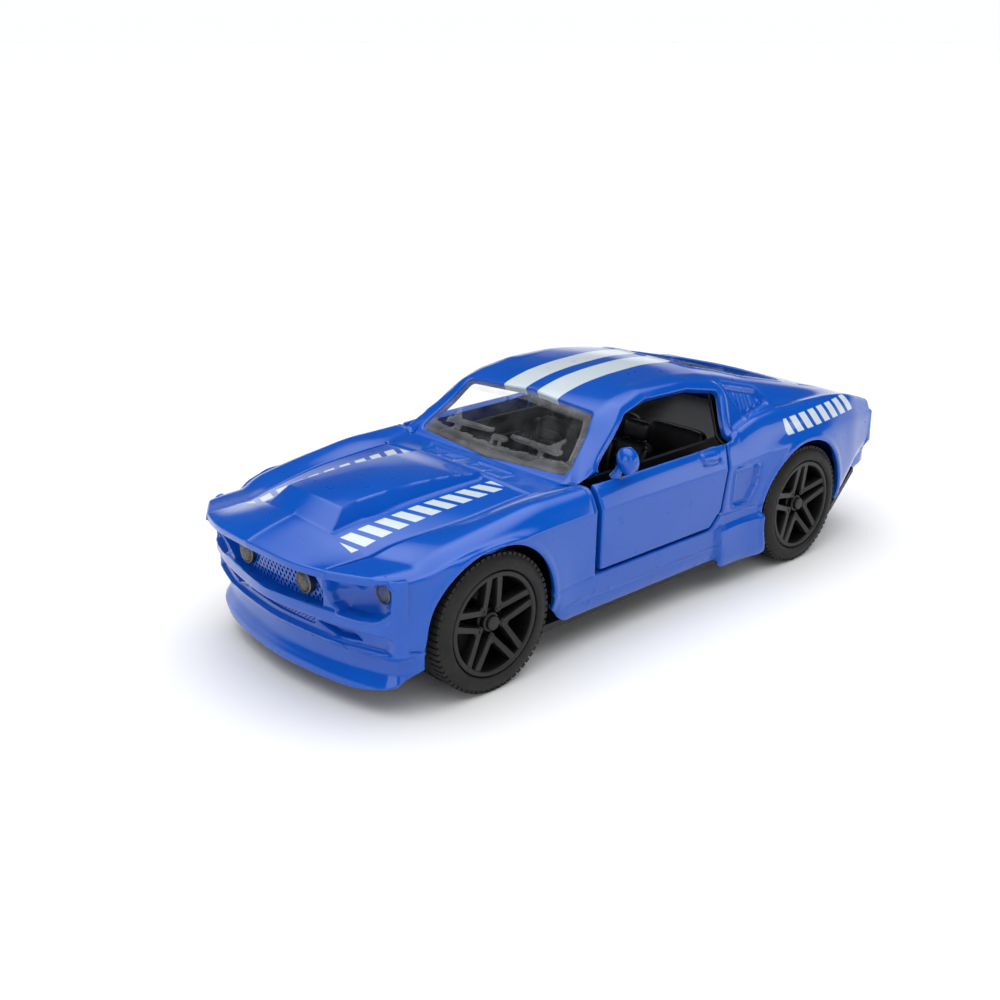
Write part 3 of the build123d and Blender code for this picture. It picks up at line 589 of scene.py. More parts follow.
# Outlines in side view (x, z), front view (y, z) and plan (x, y).
DOOR = [(18.3, 27.1), (17.8, 12.9), (-9.4, 12.9), (-12.1, 15.6), (-13.0, 22.8), (-13.6, 27.1)]
DOOR_HOLE = [(19.4, 27.6), (18.9, 12.4), (-9.9, 12.4), (-12.6, 15.1), (-13.5, 22.8), (-14.1, 27.6)]
SIDE_WINDOW = [(13.9, 27.8), (5.2, 33.9), (-0.6, 35.2), (-11.0, 35.0), (-17.8, 33.6), (-15.2, 27.8)]
WINDSHIELD = [(-17.2, 27.9), (0.0, 27.2), (17.2, 27.9), (14.6, 34.2), (0.0, 35.0), (-14.6, 34.2)]
REAR_GLASS = [(-21.0, 9.2), (-31.0, 12.2), (-42.5, 12.4), (-43.2, 0.0), (-42.5, -12.4),
              (-31.0, -12.2), (-21.0, -9.2), (-20.4, 0.0)]
VENT = [(-21.2, 34.2), (-29.2, 32.0), (-30.6, 30.3), (-23.4, 29.6)]
SCOOP = [(-15.6, 21.4), (-20.8, 21.4), (-20.2, 18.6), (-18.6, 16.0), (-15.6, 16.0)]
SKIRT = [(-11.8, 11.6), (-22.6, 11.9), (-24.6, 9.0), (-24.6, 3.0), (-13.4, 3.0)]
bulge_top = guide((60, 1.9), (53, 2.05), (50, 2.1), (42, 1.9), (34, 1.45), (28.0, 0.85), (20, 0.8))


def notch(distance, width):
    """A rounded groove profile: 1 on its line."""
    return np.exp(-((distance / width) ** 2))


def body_details(p, t):
    """How far each point stands out from the plain skin, and its lift in z."""
    x, y, z = p[:, 0], np.abs(p[:, 1]), p[:, 2]
    out = np.zeros(len(x))
    flank = smooth(t, 4.6, 5.0)
    for axle in (FRONT_X, REAR_X):
        reach = np.hypot(x - axle, z - AXLE_Z)
        out += 0.45 * notch(reach - 13.0, 3.0) * flank
        out += 0.30 * notch(reach - 12.75, 0.55) * flank
    top_half = smooth(z, 26.6, 28.2) * (x < 17)
    frame_line = polygon_distance(x, z, SIDE_WINDOW, 0.7)
    out += 0.28 * notch(frame_line - 1.0, 0.45) * top_half * (y > 13)
    vent = polygon_distance(x, z, VENT, 0.4)
    wall = (y > 14) * (t < 3.6)
    out -= 0.55 * smooth(-vent, -0.1, 0.35) * wall
    out += 0.16 * notch(vent - 0.35, 0.3) * wall
    slats = 0.5 + 0.5 * np.cos((x * 0.95 + z * 0.3) * 2 * pi / 2.1)
    out += 0.30 * slats * smooth(-vent, 0.5, 0.8) * wall
    scoop = polygon_distance(x, z, SCOOP, 0.3)
    out -= 0.42 * smooth(-scoop, -0.05, 0.22) * flank
    out += 0.20 * notch(scoop - 0.3, 0.22) * flank
    out -= 0.16 * notch(scoop - 0.95, 0.2) * flank
    skirt = polygon_distance(x, z, SKIRT, 0.6)
    out += 1.0 * smooth(-skirt, -0.5, 0.35) * smooth(t, 5.2, 5.6)
    behind_door = (x > -23) * (x < -12.5)
    out -= 0.22 * notch(z - 14.3, 0.26) * behind_door * flank
    sill = (x > -11.6) * (x < 28.6) * flank
    out -= 0.20 * notch(z - 8.9, 0.24) * sill * (x < 26.6)
    out -= 0.22 * notch(z - 12.1, 0.24) * (x > 19.4) * (x < 28.6) * flank
    rivets = np.abs((x + 60.0) % 7.6 - 3.8)
    out += 0.16 * notch(np.hypot(rivets, z - 7.7), 0.32) * sill * (x < 25)
    hood = (x > 26.9) * smooth(63.5 - x, 0.0, 1.5)
    out -= 0.42 * notch((t - 2.0) * 6.0, 0.22) * hood
    on_top = (t < 4.2)
    out -= 0.30 * notch(x - 26.6 + 0.012 * (y - 9) ** 2 / 9, 0.28) * (y < 18.2) * on_top
    out -= 0.18 * notch(x - 19.9, 0.22) * (y > 19.0) * (t < 5) * (z < 27.2)
    deck = (x < -47.5) * on_top
    out -= 0.22 * notch(x + 47.9, 0.26) * (y < 15.0) * on_top
    out -= 0.22 * notch(y - 15.0, 0.26) * deck * (x > -63.0)
    glass_ring = polygon_distance(x, p[:, 1], REAR_GLASS, 0.8)
    out += 0.16 * notch(glass_ring - 0.8, 0.4) * (x < -15) * on_top * (z > 29)
    side_slope = (8.25 + (x - 28) * 0.004 - y) * 1.35
    front_slope = (57.9 - 0.012 * y * y - x) * 0.62
    rear_slope = (x - 27.2) * 1.6
    bulge = np.minimum(np.minimum(bulge_top(x), side_slope), np.minimum(front_slope, rear_slope))
    lift = np.maximum(bulge, 0.0) * (t < 2.2)
    lift -= 0.20 * notch(y - 8.5, 0.22) * (x > 28.2) * (x < 57.0) * (t < 2)
    lift += 0.10 * notch(y, 0.35) * smooth(x, 56.5, 59.0) * (t < 1)
    vents = np.maximum(np.abs(x - 23.7) - 1.3, np.abs(y - 5.6) - 3.9)
    lift -= 0.24 * notch(vents, 0.24) * (t < 2)
    lift -= 0.18 * notch(y - 5.6, 0.24) * (vents < 0) * (t < 2)
    return out, lift


def body_surface(u, t):
    """The finished skin."""
    base = body_base(u, t)
    hu, ht = 0.08, 0.006
    pu = body_base(u + hu, t) - body_base(u - hu, t)
    pt = body_base(u, t + ht) - body_base(u, t - ht)
    out, lift = body_details(base, t)
    made = base + unit(np.cross(pu, pt)) * out[:, None]
    made[:, 2] += lift
    return made


EDGE = 0.32                     # rounding of every cut edge


def body_keep(p):
    """Positive where the cast skin has metal."""
    x, y, z = p[:, 0], p[:, 1], p[:, 2]
    keep = np.full(len(x), 50.0)
    for axle in (FRONT_X, REAR_X):
        arch = np.hypot(x - axle, z - AXLE_Z) - ARCH_R
        keep = np.minimum(keep, np.where(y > 15, arch, 50.0))
    door = polygon_distance(x, z, DOOR_HOLE, 0.0)
    window = polygon_distance(x, z, SIDE_WINDOW, 0.7)
    opening = np.minimum(np.where(y > 21.5, door, 50.0), np.where(y > 14, window, 50.0))
    keep = np.minimum(keep, opening)
    front = polygon_distance(y, z, WINDSHIELD, 0.7)
    keep = np.minimum(keep, np.where((x > 6.5) & (x < 21), front, 50.0))
    rear = polygon_distance(x, y, REAR_GLASS, 0.8)
    keep = np.minimum(keep, np.where(z > 28, rear, 50.0))
    corner = np.maximum(56.5 - x, z - 21.5)
    keep = np.minimum(keep, np.where((y > 19) & (x > 50), corner, 50.0))
    return keep - EDGE


BODY_U = graded(TAIL, NOSE, 0.6, [(NOSE, 1.0, 0.25), (26.9, 0.8, 0.14), (19.6, 1.0, 0.22),
                                  (9.5, 0.8, 0.3), (23.7, 1.6, 0.22), (-13.6, 0.5, 0.3),
                                  (-18.0, 1.0, 0.4),
                                  (-30, 1.0, 0.4), (TAIL, 0.8, 0.3), (54.0, 0.6, 0.25), (57.6, 0.6, 0.25),
                                  (18.9, 0.6, 0.2), (-22.0, 3.0, 0.33)])
BODY_T = np.concatenate([np.linspace(0, 0.68, 22)[:-1], np.linspace(0.68, 0.97, 15)[:-1],
                         np.linspace(0.97, 1.0, 2)[:-1],
                         np.linspace(1.0, 1.9, 17)[:-1], np.linspace(1.9, 2.1, 13)[:-1],
                         np.linspace(2.1, 3.0, 19)[:-1], np.linspace(3.0, 4.0, 9)[:-1],
                         np.linspace(4.0, 4.9, 10)[:-1], np.linspace(4.9, 5.1, 9)[:-1],
                         np.linspace(5.1, 6.0, 36)[:-1], np.linspace(6.0, 7.0, 22)[:-1],
                         np.linspace(7.0, 8.0, 6)])


# ==================================================================== body shell
# The cast zinc body in gloss blue enamel. It sits over the base plate and is held
# by two screws; every opening's edge is rolled as a casting's is.
half_body = trimmed_patch(body_surface, BODY_U, BODY_T, body_keep, EDGE, 0.9)
piece("car_body", *both_sides(*half_body), body_paint, "body", ("body_shell",), "body_paint")


# ==================================================================== doors
# Each door is its own casting with a rolled edge, an inner face and a flush handle.
# It rides on its hinge, and its mirror and hinge column ride with it.
HANDLE = [(-10.6, 25.3), (-7.2, 25.4), (-7.2, 26.2), (-10.6, 26.1)]


def door_surface(u, t):
    """The same skin with the handle raised on it."""
    p = body_surface(u, t)
    x, z = p[:, 0], p[:, 2]
    handle = polygon_distance(x, z, HANDLE, 0.25)
    lock = np.hypot(x + 11.6, z - 24.6) - 0.35
    p[:, 1] += 0.40 * smooth(-handle, -0.15, 0.2) - 0.12 * notch(handle - 0.35, 0.25)
    p[:, 1] += 0.15 * smooth(-lock, -0.12, 0.1) - 0.10 * notch(lock - 0.15, 0.15)
    return p


def door_keep(p):
    return -polygon_distance(p[:, 0], p[:, 2], DOOR, 0.0) - EDGE


door_u = graded(-15.0, 19.5, 0.5, [(-13.4, 0.6, 0.25), (18.2, 0.6, 0.22), (-9.4, 1.2, 0.25)])
door_t = np.concatenate([np.linspace(2.8, 4.0, 16)[:-1], np.linspace(4.0, 4.9, 14)[:-1],
                         np.linspace(4.9, 5.1, 6)[:-1], np.linspace(5.1, 6.4, 30)])
door_mesh = trimmed_patch(door_surface, door_u, door_t, door_keep, EDGE, 0.85, False, True)
for side, flip in (("left", False), ("right", True)):
    shape = other_side(*door_mesh) if flip else door_mesh
    piece(f"door_skin_{side}", *shape, body_paint, f"{side}_door", (f"door_{side}",), "body_paint")


# ==================================================================== small shapes
# Helpers for turned, lofted and cushioned pieces.
def loft(rings, around=True, caps=(True, True)):
    """A skin through rings of equal length."""
    count = len(rings[0])
    verts = np.concatenate([np.asarray(ring, float) for ring in rings])
    faces = []
    for k in range(len(rings) - 1):
        for j in range(count if around else count - 1):
            a = k * count + j
            b = k * count + (j + 1) % count
            faces.append((a, b, b + count, a + count))
    if caps[0]:
        faces.append(tuple(range(count))[::-1])
    if caps[1]:
        faces.append(tuple(range(len(verts) - count, len(verts))))
    return verts, faces


def turned(profile, count=96):
    """A profile of (radius, y) points turned about the y axis."""
    angle = np.linspace(0, 2 * pi, count, endpoint=False)
    rings = [np.stack([r * np.cos(angle), y + 0 * angle, r * np.sin(angle)], -1)
             for r, y in profile]
    return loft(rings, True, (False, False))


def rounded_profile(points, radius=0.2, steps=4):
    """The same open polyline with its inner corners rounded."""
    points = [np.array(p, float) for p in points]
    made = [points[0]]
    for before, here, after in zip(points, points[1:], points[2:]):
        back = before - here
        forth = after - here
        reach = min(radius, np.linalg.norm(back) / 2.1, np.linalg.norm(forth) / 2.1)
        start = here + back / np.linalg.norm(back) * reach
        end = here + forth / np.linalg.norm(forth) * reach
        for k in range(steps + 1):
            w = k / steps
            made.append(start * (1 - w) ** 2 + 2 * here * w * (1 - w) + end * w * w)
    made.append(points[-1])
    return made


def cushion(centre, half, square=0.35, tilt=0.0, rows=20, columns=40):
    """A soft-cornered block: a superellipsoid, tilted about the y axis."""
    rise = np.linspace(-pi / 2 + 0.02, pi / 2 - 0.02, rows)
    angle = np.linspace(0, 2 * pi, columns, endpoint=False)

    def power(v):
        return np.sign(v) * np.abs(v) ** square

    rings = []
    for a in rise:
        x = half[0] * power(np.cos(angle)) * power(np.array(cos(a)))
        y = half[1] * power(np.sin(angle)) * power(np.array(cos(a)))
        z = half[2] * power(np.array(sin(a))) + 0 * angle
        rings.append(np.stack([centre[0] + x * cos(tilt) + z * sin(tilt), centre[1] + y,
                               centre[2] - x * sin(tilt) + z * cos(tilt)], -1))
    return loft(rings)


def rod(path, radius, count=14, shape=(1.0, 1.0)):
    """A round or flattened rod along a path."""
    path = [np.array(p, float) for p in path]
    rings = []
    side = None
    for k, here in enumerate(path):
        ahead = path[min(k + 1, len(path) - 1)] - path[max(k - 1, 0)]
        ahead = ahead / np.linalg.norm(ahead)
        if side is None:
            side = np.cross(ahead, (0, 0, 1) if abs(ahead[2]) < 0.9 else (1, 0, 0))
        side = side - ahead * (side @ ahead)
        side = side / np.linalg.norm(side)
        up = np.cross(ahead, side)
        size = radius[k] if hasattr(radius, "__len__") else radius
        angle = np.linspace(0, 2 * pi, count, endpoint=False)[:, None]
        rings.append(here + (np.cos(angle) * side * shape[0] + np.sin(angle) * up * shape[1]) * size)
    return loft(rings)


def joined(*meshes):
    """Several meshes as one."""
    verts = []
    faces = []
    for some_verts, some_faces in meshes:
        start = sum(len(v) for v in verts)
        verts.append(np.asarray(some_verts, float))
        faces += [tuple(int(i) + start for i in face) for face in some_faces]
    return np.concatenate(verts), faces


def moved(mesh, place, mirror=False):
    """A mesh at another place, mirrored first for the right side."""
    verts, faces = mesh
    if mirror:
        verts = verts * np.array([1, -1, 1])
        faces = [tuple(face)[::-1] for face in faces]
    return verts + np.array(place, float), faces


class Recipe:
    """A geometry node tree with named inputs, run once into a plain mesh."""

    def __init__(self, name, **inputs):
        self.name = name
        self.tree = bpy.data.node_groups.new(name, "GeometryNodeTree")
        face = self.tree.interface
        face.new_socket("Geometry", in_out="OUTPUT", socket_type="NodeSocketGeometry")
        for key, value in inputs.items():
            kind = "NodeSocketInt" if isinstance(value, int) else "NodeSocketFloat"
            face.new_socket(key, in_out="INPUT", socket_type=kind).default_value = value
        self.ends = self.tree.nodes.new("NodeGroupInput")

    def given(self, name):
        return self.ends.outputs[name]

    def node(self, kind, output=0, settings=None, **inputs):
        node = self.tree.nodes.new(kind)
        for key, item in (settings or {}).items():
            setattr(node, key, item)
        for key, item in inputs.items():
            name = key.strip("_").replace("_", " ")
            socket = node.inputs[int(name)] if name.isdigit() else node.inputs[name]
            if isinstance(item, bpy.types.NodeSocket):
                self.tree.links.new(item, socket)
            else:
                socket.default_value = item
        return node.outputs[output]

    def math(self, operation, a, b=0.0):
        return self.node("ShaderNodeMath", settings={"operation": operation}, _0=a, _1=b)

    def mesh(self, geometry, material):
        real = self.node("GeometryNodeRealizeInstances", Geometry=geometry)
        done = self.node("GeometryNodeSetMaterial", Geometry=real, Material=material)
        end = self.tree.nodes.new("NodeGroupOutput")
        self.tree.links.new(done, end.inputs[0])
        holder = bpy.data.objects.new(self.name, bpy.data.meshes.new(self.name))
        bpy.context.scene.collection.objects.link(holder)
        holder.modifiers.new("recipe", "NODES").node_group = self.tree
        graph = bpy.context.evaluated_depsgraph_get()
        made = bpy.data.meshes.new_from_object(holder.evaluated_get(graph))
        bpy.data.objects.remove(holder)
        return made


# ==================================================================== front fascia
# A separate moulding in body colour, clipped up under the hood's lip: grille mouth,
# two headlamp buckets, bumper bar, lower intake and the flared chin.
plan_x = guide((-8, 61.9), (0, 62.5), (8, 61.9), (15.1, 60.7), (20.4, 59.2), (22.9, 58.35),
               (24.4, 57.55),
               (25.7, 56.5), (27.3, 54.9), (30.5, 52.0))
plan_y = guide((-8, -8.0), (0, 0.0), (8, 8.0), (15.1, 15.0), (20.4, 20.0), (22.9, 22.3), (24.4, 23.6),
               (25.7, 24.35), (27.3, 24.85), (30.5, 25.2))
front_step = guide((22.4, -0.5), (19, -0.5), (15.9, -0.2), (15.3, 0.30), (13.7, 0.30),
                   (13.2, -0.2), (12.9, -0.9), (11.0, -1.1), (10.6, -0.8), (10.3, -0.25),
                   (9.9, -0.9), (8.5, -1.7), (7, -1.5), (5.6, -0.8), (4.6, -0.3), (4.0, -0.2))
overhang = guide((-8, 3.2), (0, 3.3), (8, 3.2), (15, 2.5), (20, 1.0), (23.4, 0.1), (25, 0.0))
lip_under = guide((0, 22.6), (15, 22.0), (23, 21.7), (30, 21.7))
MOUTH = [(-12.9, 21.4), (-12.6, 18.5), (-11.6, 15.9), (0.0, 15.6), (11.6, 15.9), (12.6, 18.5),
         (12.9, 21.4)]
BUCKET = [(14.9, 21.0), (22.0, 21.2), (22.9, 20.2), (22.7, 17.4), (21.2, 16.2), (18.6, 15.9),
          (15.3, 16.0), (14.2, 16.9), (14.0, 18.6)]
INTAKE = [(-8.9, 12.8), (-8.4, 11.5), (8.4, 11.5), (8.9, 12.8)]
DUCT = [(9.9, 12.3), (16.6, 12.3), (17.5, 11.5), (13.0, 11.2)]


HEADLAMP = (56.9, 20.4, 19.1)


def fascia_surface(v, s):
    """v runs from under the hood's lip (0) down to the chin's edge (1)."""
    under = np.clip(v / 0.08, 0, 1)
    top = 21.9 - 0.3 * smooth(s, 13.0, 17.0)
    z = np.where(v < 0.08, lip_under(s) * (1 - under) + top * under,
                 top - (v - 0.08) / 0.92 * (top - 4.0))
    corner_rise = 2.9 * np.clip((s - 14) / 13.3, 0, 1.1) ** 2.2 * (1 - smooth(z, 4.0, 9.5))
    z = np.where(v < 0.08, z, z + corner_rise)
    rake = np.clip((z - 15.6) / 6.0, 0, 1)
    bow = 0.7 * np.exp(-((s / 9.0) ** 2)) * smooth(z, 12.9, 14.0) * (1 - smooth(z, 15.8, 19.0))
    step = front_step(z) * (1 - smooth(s, 22.0, 25.0) * smooth(z, 9.6, 10.6))
    step = step * (1 - 0.75 * smooth(s, 26.0, 29.0)) + overhang(s) * rake + bow
    h = 0.05
    along = np.stack([plan_x(s + h) - plan_x(s - h), plan_y(s + h) - plan_y(s - h)], -1)
    along = unit(along)
    x = plan_x(s) + along[:, 1] * step
    y = plan_y(s) - along[:, 0] * step
    out = polygon_distance(y, z, BUCKET, 1.0) + 0.6
    lens = np.maximum(0.0, np.hypot(y - HEADLAMP[1], z - HEADLAMP[2]) - 1.8)
    share = np.maximum(0.0, -out) / np.maximum(lens + np.maximum(0.0, -out), 0.01)
    deep = np.minimum(1.3, np.maximum(0.0, x - HEADLAMP[0]) * 0.6)
    funnel = (x - deep) * (1 - share ** 0.8) + HEADLAMP[0] * share ** 0.8
    x = x + (funnel - x) * smooth(-out, 0.0, 0.3)
    x = x + 0.26 * notch(out - 0.25, 0.20)
    mouth = smooth(-polygon_distance(y, z, MOUTH, 0.3), 0.0, 0.3)
    x = x + mouth * np.minimum(0.0, plan_x(np.abs(y)) - 2.1 - x)
    x = x - 1.0 * smooth(-polygon_distance(y, z, INTAKE, 0.1), 0.0, 0.25)
    duct = polygon_distance(y, z, DUCT, 0.15)
    x = x - 1.1 * smooth(-duct, 0.0, 0.25) + 0.12 * notch(duct - 0.2, 0.2)
    return np.stack([x, y, z], -1)


def fascia_keep(p):
    return np.where(p[:, 2] > 10.35, p[:, 0] - 55.8, 50.0) - 0.2


fascia_v = graded(0.0, 1.0, 0.013, [(0.035, 0.02, 0.008), (0.095, 0.012, 0.007), (0.36, 0.035, 0.007),
                                    (0.56, 0.05, 0.007), (0.97, 0.03, 0.008)])
fascia_s = graded(0.0, 28.9, 0.26, [(13.5, 1.0, 0.12), (22.6, 0.6, 0.14), (25.0, 1.0, 0.18)])
fascia = trimmed_patch(fascia_surface, fascia_v, fascia_s, fascia_keep, 0.2, 0.8)
piece("front_moulding", *both_sides(*fascia), trim_paint, "body", ("front_fascia",), "trim_paint")


def lattice(name, low, high, half_width, depth_x, pitch, lean, bar):
    """Crossed diagonal bars on the fascia's curve, clipped to a band."""
    recipe = Recipe(name, pitch=pitch * MM, lean=lean, half_width=half_width * MM,
                    low=low * MM, high=high * MM)
    count = int(2.6 * half_width / pitch)
    sets = []
    for sign in (1.0, -1.0):
        start = recipe.node("ShaderNodeCombineXYZ", X=depth_x * MM, Y=-1.3 * half_width * MM,
                            Z=(low + high) / 2 * MM)
        offset = recipe.node("ShaderNodeCombineXYZ", Y=recipe.given("pitch"))
        line = recipe.node("GeometryNodeMeshLine", Count=count, Start_Location=start,
                           Offset=offset)
        strip = recipe.node("GeometryNodeMeshCube", Size=(bar * MM, bar * MM, (high - low) * 1.5 * MM),
                            Vertices_Z=16)
        lean_by = recipe.math("MULTIPLY", recipe.given("lean"), sign)
        turn = recipe.node("ShaderNodeCombineXYZ", X=lean_by)
        sets.append(recipe.node("GeometryNodeInstanceOnPoints", Points=line, Instance=strip,
                                Rotation=turn))
    join = recipe.tree.nodes.new("GeometryNodeJoinGeometry")
    for one in sets:
        recipe.tree.links.new(one, join.inputs[0])
    real = recipe.node("GeometryNodeRealizeInstances", Geometry=join.outputs[0])
    spot = recipe.tree.nodes.new("ShaderNodeSeparateXYZ")
    place = recipe.node("GeometryNodeInputPosition")
    recipe.tree.links.new(place, spot.inputs[0])
    z = recipe.math("MINIMUM", recipe.math("MAXIMUM", spot.outputs[2], recipe.given("low")),
                    recipe.given("high"))
    negative = recipe.math("MULTIPLY", recipe.given("half_width"), -1.0)
    y = recipe.math("MINIMUM", recipe.math("MAXIMUM", spot.outputs[1], negative),
                    recipe.given("half_width"))
    sweep = recipe.math("MULTIPLY", recipe.math("MULTIPLY", y, y), -7.6)
    x = recipe.math("ADD", spot.outputs[0], sweep)
    bent = recipe.node("ShaderNodeCombineXYZ", X=x, Y=y, Z=z)
    made = recipe.node("GeometryNodeSetPosition", Geometry=real, Position=bent)
    return recipe.mesh(made, trim_paint)


settle("grille_lattice", lattice("grille_lattice", 15.2, 22.1, 13.4, 61.2, 0.95, 0.6, 0.34), "body")
settle("intake_lattice", lattice("intake_lattice", 11.3, 13.0, 9.4, 60.9, 0.8, 0.9, 0.26), "body")


# ==================================================================== front lamps
# Driving lamps in the grille and headlamps at the outer end of their buckets: a
# domed smoke-clear lens over a dark reflector, in a thin bezel.
def lamp_set(place, radius, side):
    """Bezel and reflector, then lens, facing forward along x."""
    cup = turned(rounded_profile([(radius + 0.28, -1.5), (radius + 0.30, 0.18), (radius + 0.05, 0.30),
                                  (radius - 0.02, -0.1), (radius * 0.35, -1.0), (0.02, -1.1)], 0.12),
                 40)
    dome = [(radius - 0.02, 0.0)]
    for k in range(9):
        a = k / 8 * pi / 2
        dome.append((max(0.02, (radius - 0.04) * cos(a)), 0.12 + 0.62 * sin(a)))
    dome = turned(dome, 40)
    meshes = []
    for verts, faces in (cup, dome):
        turned_round = np.stack([verts[:, 1], verts[:, 0], verts[:, 2]], -1)
        meshes.append(moved((turned_round, faces), (place[0], place[1] * side, place[2])))
    return meshes


DRIVING = (61.6, 7.7, 18.2)
for side, word in ((1, "left"), (-1, "right")):
    for kind, place, radius in (("headlamp", HEADLAMP, 1.35), ("driving_lamp", DRIVING, 1.55)):
        cup, dome = lamp_set(place, radius, side)
        piece(f"{kind}_cup_{word}", *cup, reflector, "body")
        piece(f"{kind}_lens_{word}", *dome, lamp_clear, "body", (f"{kind}_{word}",), "lamp_smoke")


# ==================================================================== wheels
# Black star rims of five twin spokes with a turned lip, pressed on the axles, in
# soft rubber tyres with blocks on both shoulders.
FACE = 26.0
tyre_profile = rounded_profile(
    [(7.6, -12.0), (8.3, -12.3), (10.1, -12.3), (10.93, -11.3), (10.93, -8.4), (10.6, -8.3),
     (10.6, -7.9), (10.93, -7.8), (10.93, -4.6), (10.6, -4.5), (10.6, -4.1), (10.93, -4.0),
     (10.94, -1.5), (10.70, -0.55), (10.1, 0.0), (9.3, 0.26), (8.75, 0.28), (8.42, 0.1),
     (8.34, -0.25), (8.30, -0.9), (7.6, -1.0)], 0.45, 5)
rim_profile = rounded_profile(
    [(7.7, -12.1), (8.2, -12.2), (8.2, -11.4), (7.7, -11.0), (7.7, -1.2), (8.22, -0.9),
     (8.24, -0.12), (8.05, 0.04), (7.55, 0.04), (7.38, -0.12), (7.3, -0.6), (7.2, -2.0),
     (7.15, -6.5), (1.3, -6.6), (1.2, -12.0)], 0.16, 4)


def spoke(angle, lean):
    """One bar of a twin spoke: from its lug boss out to the rim."""
    start = np.array([2.35 * cos(angle), 2.35 * sin(angle)])
    end_angle = angle + lean
    end = np.array([7.62 * cos(end_angle), 7.62 * sin(end_angle)])
    run = unit(end - start)
    across = np.array([-run[1], run[0]])
    rings = []
    for w in np.linspace(-0.10, 1.0, 9):
        middle = start + (end - start) * w
        top = -1.00 + 0.92 * max(w, 0) ** 0.8
        half = 0.50 + 0.10 * max(w, 0) ** 2
        deep = top - 1.5
        ring = [(-half * 1.15, deep), (-half, top - 0.22), (-half * 0.80, top - 0.03),
                (-half * 0.3, top - 0.05), (half * 0.3, top - 0.05), (half * 0.80, top - 0.03),
                (half, top - 0.22), (half * 1.15, deep)]
        rings.append([(middle[0] + across[0] * a, y, middle[1] + across[1] * a) for a, y in ring])
    return loft(rings)


def rim_mesh():
    """Lip, barrel, twin spokes, hub and cap, about the y axis."""
    parts = [turned(rim_profile, 110)]
    hub = rounded_profile([(0.02, -0.35), (1.05, -0.38), (1.15, -0.55), (1.15, -1.0), (1.5, -1.1),
                           (1.55, -1.9), (1.9, -1.95), (2.0, -2.1), (2.1, -6.6)], 0.1, 3)
    parts.append(turned(hub[::-1], 60))
    for k in range(5):
        angle = pi / 2 + k * 2 * pi / 5 + pi / 5
        parts.append(spoke(angle, radians(28.5)))
        parts.append(spoke(angle, radians(-28.5)))
        boss = turned(rounded_profile([(0.02, -1.15), (0.22, -1.15), (0.30, -0.86), (0.62, -0.84),
                                       (0.78, -1.0), (0.85, -2.4)], 0.06, 3)[::-1], 24)
        parts.append(moved(boss, (2.75 * cos(angle), 0, 2.75 * sin(angle))))
    return joined(*parts)


def tread_blocks(name, angle_step):
    """Shoulder blocks round both edges of the tread."""
    recipe = Recipe(name, blocks=int(round(360 / angle_step)), radius=10.80 * MM)
    spots = recipe.node("GeometryNodeMeshLine", Count=recipe.given("blocks"), Offset=(0, 0, 0))
    join = recipe.tree.nodes.new("GeometryNodeJoinGeometry")
    for y, long in ((-1.55, 2.3), (-10.6, 2.0), (-6.1, 2.6)):
        block = recipe.node("GeometryNodeMeshCube", Size=(0.55 * MM, long * MM, 0.74 * MM),
                            Vertices_Y=5)
        where = recipe.node("ShaderNodeCombineXYZ", X=recipe.given("radius"), Y=y * MM)
        block = recipe.node("GeometryNodeTransform", Geometry=block, Translation=where)
        recipe.tree.links.new(block, join.inputs[0])
    step = recipe.math("DIVIDE", 2 * pi, recipe.given("blocks"))
    turn = recipe.math("MULTIPLY", recipe.node("GeometryNodeInputIndex"), step)
    around = recipe.node("ShaderNodeCombineXYZ", Y=turn)
    made = recipe.node("GeometryNodeInstanceOnPoints", Points=spots, Instance=join.outputs[0],
                       Rotation=around)
    real = recipe.node("GeometryNodeRealizeInstances", Geometry=made)
    spot = recipe.tree.nodes.new("ShaderNodeSeparateXYZ")
    recipe.tree.links.new(recipe.node("GeometryNodeInputPosition"), spot.inputs[0])
    radial = recipe.math("SQRT", recipe.math("ADD", recipe.math("POWER", spot.outputs[0], 2.0),
                                             recipe.math("POWER", spot.outputs[2], 2.0)))
    limit = recipe.math("MAXIMUM", recipe.math("ADD", spot.outputs[1], 0.9 * MM), 0.0)
    sink = recipe.math("MULTIPLY", recipe.math("MULTIPLY", limit, limit), 330.0)
    shrink = recipe.math("DIVIDE", recipe.math("SUBTRACT", radial, sink), radial)
    pull = recipe.node("ShaderNodeCombineXYZ", X=recipe.math("MULTIPLY", spot.outputs[0], shrink),
                       Y=spot.outputs[1], Z=recipe.math("MULTIPLY", spot.outputs[2], shrink))
    made = recipe.node("GeometryNodeSetPosition", Geometry=real, Position=pull)
    mesh = recipe.mesh(made, tyre_rubber)
    return np.array([v.co for v in mesh.vertices]) / MM, [tuple(p.vertices) for p in mesh.polygons]


rim = rim_mesh()
tyre = joined(turned(tyre_profile, 120), tread_blocks("tread_blocks", 5.625))
for end, x in (("front", FRONT_X), ("rear", REAR_X)):
    for side, word in ((1, "left"), (-1, "right")):
        place = (x, side * FACE, AXLE_Z)
        piece(f"{end}_star_rim_{word}", *moved(rim, place, side < 0), rim_plastic,
              f"{end}_wheelset", (f"{end}_rim_{word}",), "rim_plastic", sharp=32)
        piece(f"{end}_block_tyre_{word}", *moved(tyre, place, side < 0), tyre_rubber,
              f"{end}_wheelset", (f"{end}_tyre_{word}",), "tyre_rubber", sharp=35)


